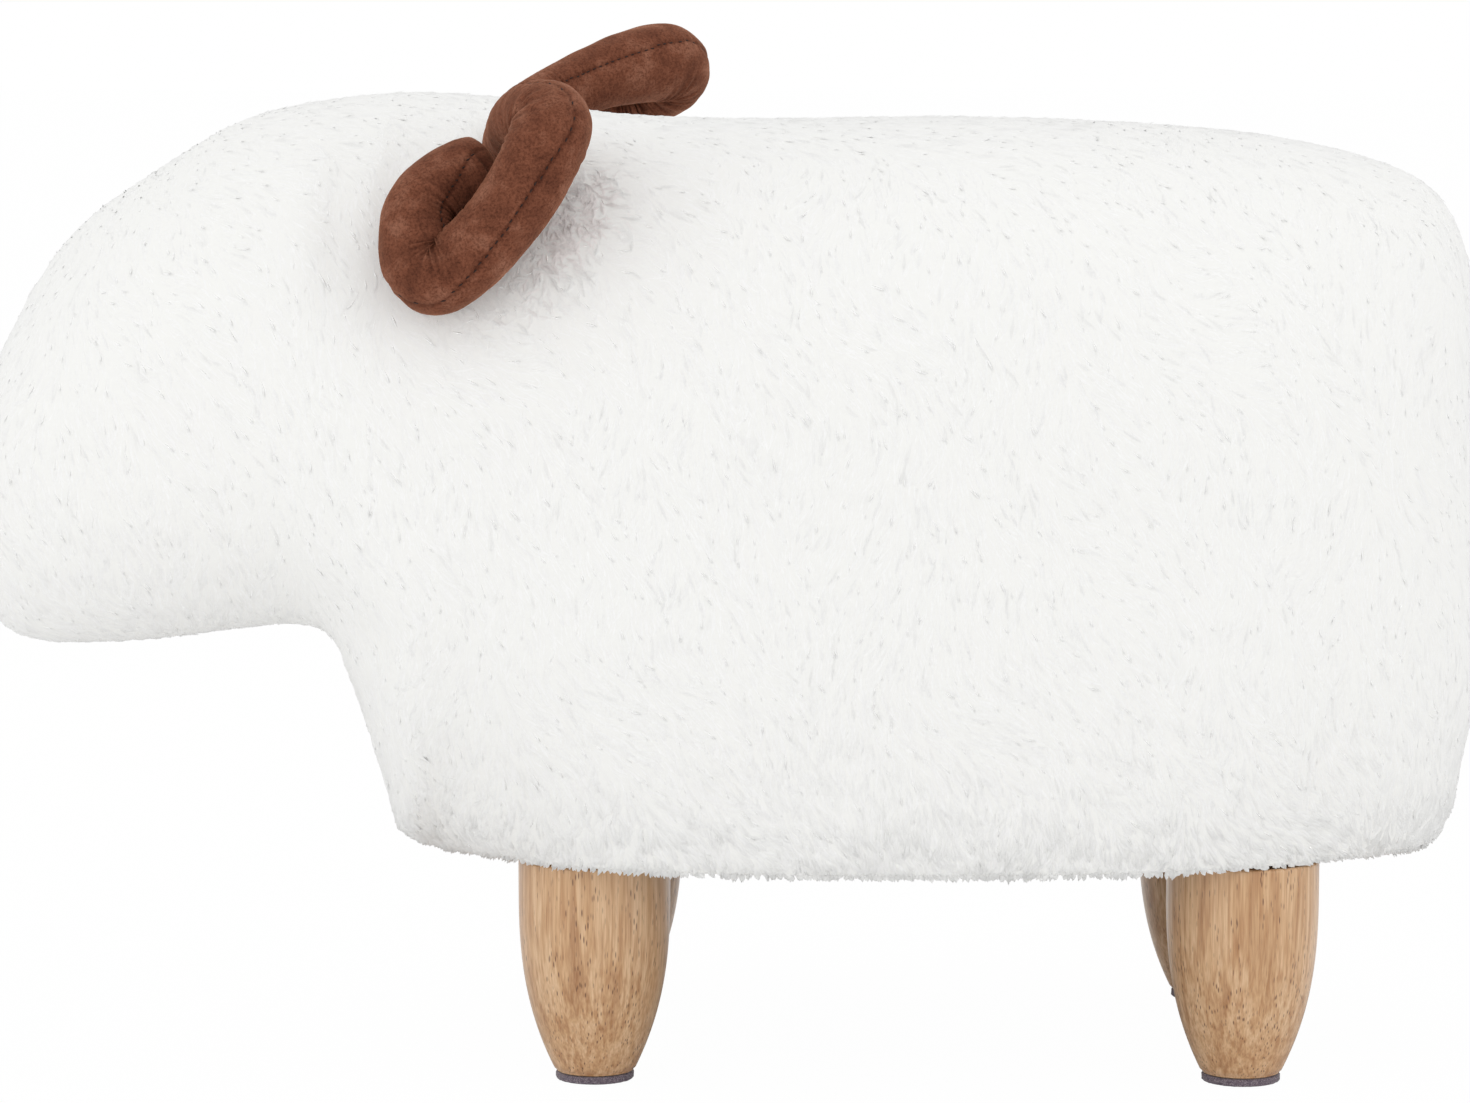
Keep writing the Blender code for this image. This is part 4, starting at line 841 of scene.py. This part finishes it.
def horn(name):
    """A stuffed horn of velour, and the thread of its two seams.

    Rings follow the middle line. Each ring's radius sinks in a groove at the two seams, and on the
    inner side of a bend it stops short of the bend's centre, so the cloth folds there instead of
    crossing itself. Ridges across the bend stand for the wrinkles.
    """
    root, _, _, out = form_frame(*HORN_ROOTS[name])
    first = np.array([[*(root - 0.006 * out), 0.0096], [*(root + 0.004 * out), 0.0100]])
    keys = np.vstack((first, HORN_LINES[name] + np.array([*root, 0])))
    path, at = along_curve(keys, HORN_RINGS)
    middle, radius, end_radius = path[:, :3], path[:, 3:], path[-1, 3]
    length = at[-1]
    ways = unit(np.gradient(middle, axis=0))
    across, up = ring_frames(ways)
    bend = np.gradient(ways, axis=0) / (length / (HORN_RINGS - 1))
    bend = np.stack([smoothed(column, 15) for column in bend.T], axis=-1)
    seam = seam_angles(name, at, ways, across, up)

    angles = np.linspace(0, 2 * math.pi, HORN_SIDES, endpoint=False)
    ring = np.cos(angles)[:, None] * across[:, None] + np.sin(angles)[:, None] * up[:, None]
    inward = (ring * bend[:, None]).sum(-1)
    reach = np.minimum(radius, 0.92 / np.maximum(inward, 1.0))
    reach = 0.5 * (reach + radius - np.sqrt((radius - reach) ** 2 + 1e-8)) + 0.5e-4
    tip = np.clip((length - at) / (1.05 * end_radius), 0, 1)[:, None]
    tight = np.linalg.norm(bend, axis=-1)[:, None] + 1e-6
    folded = np.clip(tight * 0.022 - 0.1, 0, 1) * np.clip((inward / tight + 0.8) / 1.5, 0, 1) ** 1.2
    pinch = waves(np.stack((at * 2, at * 0, at * 0), -1), 0.0095, 31)[:, None]
    wavy = np.sin(2 * math.pi * at[:, None] / 0.0047 + 1.6 * pinch + 1.2 * np.sin(angles * 2 + 1))
    wrinkle = folded * (0.00075 * wavy - 0.0004)
    skin = (middle[:, None] + ring * radius[..., None]).reshape(-1, 3)
    soft, lump = (waves(skin, size, seed).reshape(reach.shape) for size, seed in ((0.021, 32), (0.0075, 33)))
    # distance round the ring to the nearer seam, then the groove and the puffed cloth beside it
    off = ((angles - seam[:, None] + math.pi / 2) % math.pi - math.pi / 2) * radius
    groove, puff = np.exp(-(off / 0.0009) ** 2), np.exp(-(off / 0.0042) ** 2)
    pucker = 1 + 0.5 * np.sin(2 * math.pi * at[:, None] / STITCH_PITCH)
    reach = reach + wrinkle + 0.00022 * soft + 0.00010 * lump - 0.0005 * groove - 0.00045 * puff * pucker
    rings = middle[:, None] + ring * (reach * np.sqrt(1 - (1 - tip) ** 2) + 2e-5)[..., None]
    points, faces = tube(rings)
    piece = put_mesh("velour_horn_" + name, points, faces)
    stuffing(name, middle, ring, reach, tip)
    # for the material: the place on the flat cloth, the seam and the folds, where it paints shade, and the two
    # end points
    lay = np.stack((np.repeat(at, HORN_SIDES), (np.sin(angles) * radius).ravel(),
                    (np.cos(angles) * radius).ravel()), axis=-1)
    point_values(piece, "lay", np.vstack((lay, [[0, 0, 0], [length, 0, 0]])))
    point_values(piece, "seam", np.append(groove.ravel(), [0, 0]))
    point_values(piece, "fold", np.append((folded * (0.5 - 0.5 * wavy)).ravel(), [0, 0]))
    give(piece, VELOUR, "velour", "horn_cover_" + name)
    stitches(name, rings, middle, ways, at, seam, length - 1.5 * end_radius)


def velour_material():
    """Short brown velour: its nap catches light at the edges and lies in light and dark patches."""
    material, shader = new_material("brown_velour", Roughness=0.88, Specular_IOR_Level=0.15,
                                    Sheen_Weight=0.38, Sheen_Roughness=0.40, Sheen_Tint=linear("#C98F6C"))
    place = add(material, "TexCoord").outputs["Object"]
    # nap brushed in patches of 10 to 20 mm
    patches = add(material, "TexNoise", Vector=place, Scale=75.0, Detail=3.0, Roughness=0.6)
    tone = add(material, "ValToRGB", stops=((0.28, "#663A29"), (0.50, "#7B4A36"), (0.72, "#976651")),
               Fac=patches)
    # tufts of about 1 mm
    tufts = add(material, "TexNoise", Vector=place, Scale=950.0, Detail=3.0, Roughness=0.75)
    speck = add(material, "ValToRGB", stops=((0.34, "#B9AFA9"), (0.58, "#FFFFFF")), Fac=tufts)
    grained = add(material, "Mix", MULTIPLIED, i0=1.0, i6=tone, i7=speck)
    seam = add(material, "Attribute", {"attribute_name": "seam"}).outputs["Fac"]
    fold = add(material, "Attribute", {"attribute_name": "fold"}).outputs["Fac"]
    # painted shade: darker in the grooves of the two seams, where the cloth dips
    painted_seam_shade = add(material, "ValToRGB", stops=((0.0, "#FFFFFF"), (0.85, "#CDC1BA")), Fac=seam)
    sewn = add(material, "Mix", MULTIPLIED, i0=1.0, i6=grained, i7=painted_seam_shade)
    # painted shade: darker in the valleys of the wrinkles on the inner side of each tight bend
    painted_fold_shade = add(material, "ValToRGB", stops=((0.0, "#FFFFFF"), (0.9, "#B3A49C")), Fac=fold)
    done = add(material, "Mix", MULTIPLIED, i0=1.0, i6=sewn, i7=painted_fold_shade)
    bump = add(material, "Bump", Height=tufts, Strength=0.5, Distance=0.0003)
    # faint wrinkles across the horn, 2 to 4 mm apart and 10 mm long
    lay = add(material, "Attribute", {"attribute_name": "lay"}).outputs["Vector"]
    drawn = add(material, "Mapping", Vector=lay, Scale=(1.0, 0.22, 0.22))
    wrinkles = add(material, "TexNoise", Vector=drawn, Scale=420.0, Detail=2.0, Roughness=0.5)
    few = add(material, "MapRange", Value=wrinkles, i1=0.50, i2=0.72)
    pressed = add(material, "Bump", Height=few, Normal=bump, Strength=0.35, Distance=0.0005)
    connect(shader, Base_Color=done, Normal=pressed)
    return material


def thread_material():
    """Dark brown polyester thread, twisted."""
    material, shader = new_material("dark_brown_thread", Roughness=0.6, Specular_IOR_Level=0.3)
    place = add(material, "TexCoord").outputs["Object"]
    # twist of about 0.5 mm
    twist = add(material, "TexNoise", Vector=place, Scale=2000.0, Detail=1.0)
    connect(shader, Base_Color=add(material, "ValToRGB", stops=((0.3, "#1F100A"), (0.7, "#321B13")), Fac=twist))
    return material


VELOUR = velour_material()
THREAD = thread_material()
for name in HORN_LINES:
    horn(name)


# ---------------------------------------------------------------- legs, pads and dust cover
def lathe(profile, place, sides):
    """Rings of points round a vertical axis, from the lowest (radius, height) to the highest."""
    turns = np.linspace(0, 2 * math.pi, sides, endpoint=False)
    radius, height = profile[:, 0, None], profile[:, 1, None]
    return np.stack((place[0] + radius * np.cos(turns), place[1] + radius * np.sin(turns),
                     np.broadcast_to(height, (len(profile), sides))), axis=-1)


def rims(low, high, bottom, top, edges, count):
    """The rounded lower and upper edge of a turned piece, as rows of radius and height."""
    quarter = np.linspace(0, math.pi / 2, count)
    soon, late = 1 - np.sin(quarter), 1 - np.cos(quarter)
    return (np.stack((low - edges[0] * soon, bottom + edges[0] * late), axis=-1),
            np.stack((high - edges[1] * late, top - edges[1] * soon), axis=-1))


def leg(name, place, turned):
    """A turned leg: a smooth swell from the foot, with its edges broken by a sanded round."""
    heights = LEG_BOTTOM + (LEG_TOP - LEG_BOTTOM) * np.linspace(0, 1, 60)
    rise = np.clip((heights - LEG_BOTTOM) / LEG_SWELL_HEIGHT, 0, 1)
    radius = LEG_FOOT_RADIUS + (LEG_TOP_RADIUS - LEG_FOOT_RADIUS) * (1 - (1 - rise) ** 2.6)
    foot, head = rims(radius[0], radius[-1], LEG_BOTTOM, LEG_TOP, (0.0010, 0.0012), 6)
    body = np.stack((radius, heights), axis=-1)
    body = body[(heights > LEG_BOTTOM + 0.0011) & (heights < LEG_TOP - 0.0013)]
    flat_low = np.stack((np.linspace(0.0004, foot[0, 0], 6)[:-1], np.full(5, LEG_BOTTOM)), axis=-1)
    flat_high = np.stack((np.linspace(head[-1, 0], 0.0004, 6)[1:], np.full(5, LEG_TOP)), axis=-1)
    points, faces = tube(lathe(np.concatenate((flat_low, foot, body, head, flat_high)), place, 80))
    piece = put_mesh("turned_leg_" + name, points, faces)
    # the grain's own frame: the pith stands beside the leg, and each leg is cut another way
    x, y, z = (points - np.array([*place, 0.0])).T
    cos, sin = math.cos(turned), math.sin(turned)
    grain = (x * cos - y * sin + 0.140, x * sin + y * cos + 0.012, z + 0.13 * turned)
    point_values(piece, "grain", np.stack(grain, axis=-1))
    give(piece, LEG_WOOD, "leg_wood", "leg_" + name)


def pad(name, place):
    """A disc of pressed felt with a soft, slightly ragged edge."""
    edge = 0.0007
    low, high = rims(LEG_FOOT_RADIUS, LEG_FOOT_RADIUS, 0.0, PAD_THICKNESS, (edge, edge), 5)
    disc = np.linspace(0.0004, LEG_FOOT_RADIUS - edge, 10)[:-1]
    profile = np.concatenate((np.stack((disc, np.zeros(9)), axis=-1), low, high,
                              np.stack((disc[::-1], np.full(9, PAD_THICKNESS)), axis=-1)))
    rings = lathe(profile, place, 96)
    outward = unit((rings - np.array([*place, 0.0])) * np.array([1, 1, 0.0]))
    ragged = waves(rings.reshape(-1, 3), 0.0022, 41).reshape(rings.shape[:2]) * 0.00016
    ragged *= np.clip(profile[:, 0, None] / LEG_FOOT_RADIUS, 0, 1) ** 4
    points, faces = tube(rings + outward * (ragged - 0.00016)[..., None])
    give(put_mesh("felt_pad_" + name, points, faces), FELT, "felt", "felt_pad_" + name)


def wood_material():
    """Pale rubberwood under satin lacquer: growth rings as soft bands, short dark pores with painted highlights
    beside them, and a clear coat that keeps a lighter rim."""
    material, shader = new_material("lacquered_rubberwood", Roughness=0.42, Specular_IOR_Level=0.45,
                                    Coat_Weight=0.6, Coat_Roughness=0.28)
    grain = add(material, "Attribute", {"attribute_name": "grain"}).outputs["Vector"]
    # growth bands 3 to 8 mm wide, drawn out along the leg, and finer ones of 1.5 mm within them
    drawn = add(material, "Mapping", Vector=grain, Scale=(1.0, 1.0, 0.055))
    wide = add(material, "TexNoise", Vector=drawn, Scale=140.0, Detail=2.0, Roughness=0.5, Distortion=0.6)
    bands = add(material, "ValToRGB", stops=((0.30, "#BE9369"), (0.46, "#D2AA7F"), (0.58, "#DEBB94"),
                                             (0.72, "#CCA276")), Fac=wide)
    narrow = add(material, "TexNoise", Vector=drawn, Scale=620.0, Detail=2.0, Roughness=0.6)
    lines = add(material, "ValToRGB", stops=((0.34, "#DCC8B2"), (0.56, "#FFFFFF")), Fac=narrow)
    toned = add(material, "Mix", MULTIPLIED, i0=0.85, i6=bands, i7=lines)
    # fine fibre about 0.3 mm across
    drawn = add(material, "Mapping", Vector=grain, Scale=(1.0, 1.0, 0.03))
    fibre = add(material, "TexNoise", Vector=drawn, Scale=1700.0, Detail=2.0)
    streak = add(material, "ValToRGB", stops=((0.25, "#DCCBB8"), (0.60, "#FFFFFF")), Fac=fibre)
    fibred = add(material, "Mix", MULTIPLIED, i0=0.8, i6=toned, i7=streak)
    # pores 0.3 mm wide and 1 to 3 mm long, crowded in some bands, each a dark dash beside a painted highlight,
    # a light fleck added to the colour
    crowded = add(material, "Mapping", Vector=grain, Scale=(1.0, 1.0, 0.16))
    crowd = add(material, "TexNoise", Vector=crowded, Scale=120.0, Detail=2.0)
    share = add(material, "MapRange", Value=crowd, i1=0.42, i2=0.58, i3=0.12, i4=0.85)
    drawn = add(material, "Mapping", Vector=grain, Scale=(1.0, 1.0, 0.18))
    pore = add(material, "TexVoronoi", {"feature": "F1"}, Vector=drawn, Scale=900.0, Randomness=1.0)
    dark = add(material, "ValToRGB", stops=((0.14, "#6E4A2E"), (0.30, "#FFFFFF")), Fac=pore)
    pored = add(material, "Mix", MULTIPLIED, i0=share, i6=fibred, i7=dark)
    # painted highlights: light flecks added to the colour beside the pores, where the lacquer glints
    pore_glint_cells = add(material, "TexVoronoi", {"feature": "F1"}, Vector=drawn, Scale=640.0, Randomness=1.0)
    light = add(material, "ValToRGB", stops=((0.16, "#4A4038"), (0.34, "#000000")), Fac=pore_glint_cells)
    pores_and_painted_glints = add(material, "Mix", ADDED, i0=share, i6=pored, i7=light)
    bump = add(material, "Bump", Height=fibre, Strength=0.12, Distance=0.0002)
    connect(shader, Base_Color=pores_and_painted_glints, Normal=bump)
    return material


def felt_material():
    """Dark grey-violet pressed felt, matt and hairy."""
    material, shader = new_material("pressed_felt", Roughness=0.97, Specular_IOR_Level=0.1,
                                    Sheen_Weight=0.3, Sheen_Roughness=0.5)
    place = add(material, "TexCoord").outputs["Object"]
    # matted hair in tufts of about 0.7 mm
    hair = add(material, "TexNoise", Vector=place, Scale=1400.0, Detail=4.0, Roughness=0.75, Distortion=1.5)
    tone = add(material, "ValToRGB", stops=((0.34, "#453D49"), (0.50, "#6C616C"), (0.66, "#AAA0A6")), Fac=hair)
    connect(shader, Base_Color=tone, Normal=add(material, "Bump", Height=hair, Strength=0.6, Distance=0.0003))
    return material


def spunbond_material():
    """Black spun-bonded cloth with its pattern of small pressed points."""
    material, shader = new_material("black_spunbond", Roughness=0.75, Specular_IOR_Level=0.25)
    place = add(material, "TexCoord").outputs["Object"]
    # pressed points about 1.2 mm apart
    points = add(material, "TexVoronoi", {"feature": "F1"}, Vector=place, Scale=830.0, Randomness=0.15)
    tone = add(material, "ValToRGB", stops=((0.2, "#0E0E0F"), (0.5, "#1C1C1E")), Fac=points)
    connect(shader, Base_Color=tone, Normal=add(material, "Bump", Height=points, Strength=0.5, Distance=0.0002))
    return material


def dust_cover():
    """The cloth under the base board, pulled flat and drawn in from the hem."""
    rows, cells = np.meshgrid(np.linspace(14.40, 22.45, 60), np.linspace(14.36, 19.64, 60), indexing="ij")
    low = form(rows, cells)
    sag = waves(low.reshape(-1, 3), 0.05, 51).reshape(rows.shape)
    low[..., 2] = HEM_HEIGHT - 0.0006 - 0.0001 * (1 + sag) / 2
    high = low + np.array([0, 0, 0.0005])
    points, faces = slab(low, high)
    piece = put_mesh("dust_cover_cloth", points, faces)
    give(piece, spunbond_material(), "dust_cloth", "dust_cover")


LEG_WOOD = wood_material()
FELT = felt_material()
for name, (x, y, turned) in LEGS.items():
    leg(name, (x, y), turned)
    pad(name, (x, y))
dust_cover()


# ---------------------------------------------------------------- camera, light and floor
CAMERA_PLACE, CAMERA_TARGET = (0.037, -2.088, 0.423), (0.002, 0.0, 0.204)


def look(place, target):
    """Rotation that points a camera or a lamp from one place at another."""
    return (Vector(target) - Vector(place)).to_track_quat("-Z", "Y").to_euler()


camera_data = bpy.data.cameras.new("camera")
camera_data.sensor_width = 36.0
camera_data.lens = 123.5
camera_data.clip_end = 50.0
camera = bpy.data.objects.new("camera", camera_data)
camera.location = CAMERA_PLACE
camera.rotation_euler = look(CAMERA_PLACE, CAMERA_TARGET)
bpy.context.scene.collection.objects.link(camera)
bpy.context.scene.camera = camera


def soft_lamp(name, place, target, size, power):
    """A large square softbox."""
    data = bpy.data.lights.new(name, "AREA")
    data.shape = "SQUARE"
    data.size = size
    data.energy = power
    lamp = bpy.data.objects.new(name, data)
    lamp.location = place
    lamp.rotation_euler = look(place, target)
    bpy.context.scene.collection.objects.link(lamp)


soft_lamp("key_softbox", (-0.5, -1.9, 1.6), (0.0, 0.0, 0.2), 1.8, 3.0)
soft_lamp("front_softbox", (-1.7, -1.1, 0.12), (-0.1, 0.0, 0.2), 1.4, 4.3)
soft_lamp("rear_softbox", (1.7, -1.1, 0.6), (0.1, 0.0, 0.2), 1.4, 4.2)
soft_lamp("low_softbox", (-0.9, -1.7, 0.45), (-0.1, 0.0, 0.12), 0.9, 1.4)
soft_lamp("top_softbox", (0.2, 0.2, 2.2), (0.0, 0.0, 0.2), 1.6, 3.5)

world = bpy.data.worlds.new("studio")
world.use_nodes = True
bpy.context.scene.world = world
# what the camera and a reflection see is pure white, what lights the object is a little less
studio = connect(world.node_tree.nodes["Background"], Color=WHITE, Strength=0.86)
backdrop = add(world, "Background", Color=WHITE, Strength=1.0)
path = add(world, "LightPath")
seen = add(world, "Math", {"operation": "MAXIMUM"}, i0=path.outputs["Is Camera Ray"],
           i1=path.outputs["Is Glossy Ray"])
mixed = add(world, "MixShader", i0=seen, i1=studio, i2=backdrop)
connect(world.node_tree.nodes["World Output"], Surface=mixed)


def floor_material():
    """White studio paper. The camera sees it nearly as bright as paper in full light, so only a
    faint shadow stays on it."""
    material, shader = new_material("white_paper", Roughness=0.9, Specular_IOR_Level=0.1,
                                    Base_Color=linear("#F6F6F6"))
    glow = add(material, "Emission", Strength=1.0, Color=WHITE)
    camera_ray = add(material, "LightPath").outputs["Is Camera Ray"]
    share = add(material, "Math", {"operation": "MULTIPLY"}, i0=camera_ray, i1=0.985)
    mixed = add(material, "MixShader", i0=share, i1=shader, i2=glow)
    connect(material.node_tree.nodes["Material Output"], Surface=mixed)
    return material


floor_corners = np.array([[-30, -30, 0], [30, -30, 0], [30, 30, 0], [-30, 30, 0]], float)
floor = put_mesh("floor", floor_corners, np.array([[0, 1, 2, 3]]), smooth=False)
floor.data.materials.append(floor_material())

bpy.context.scene.view_settings.view_transform = "Standard"
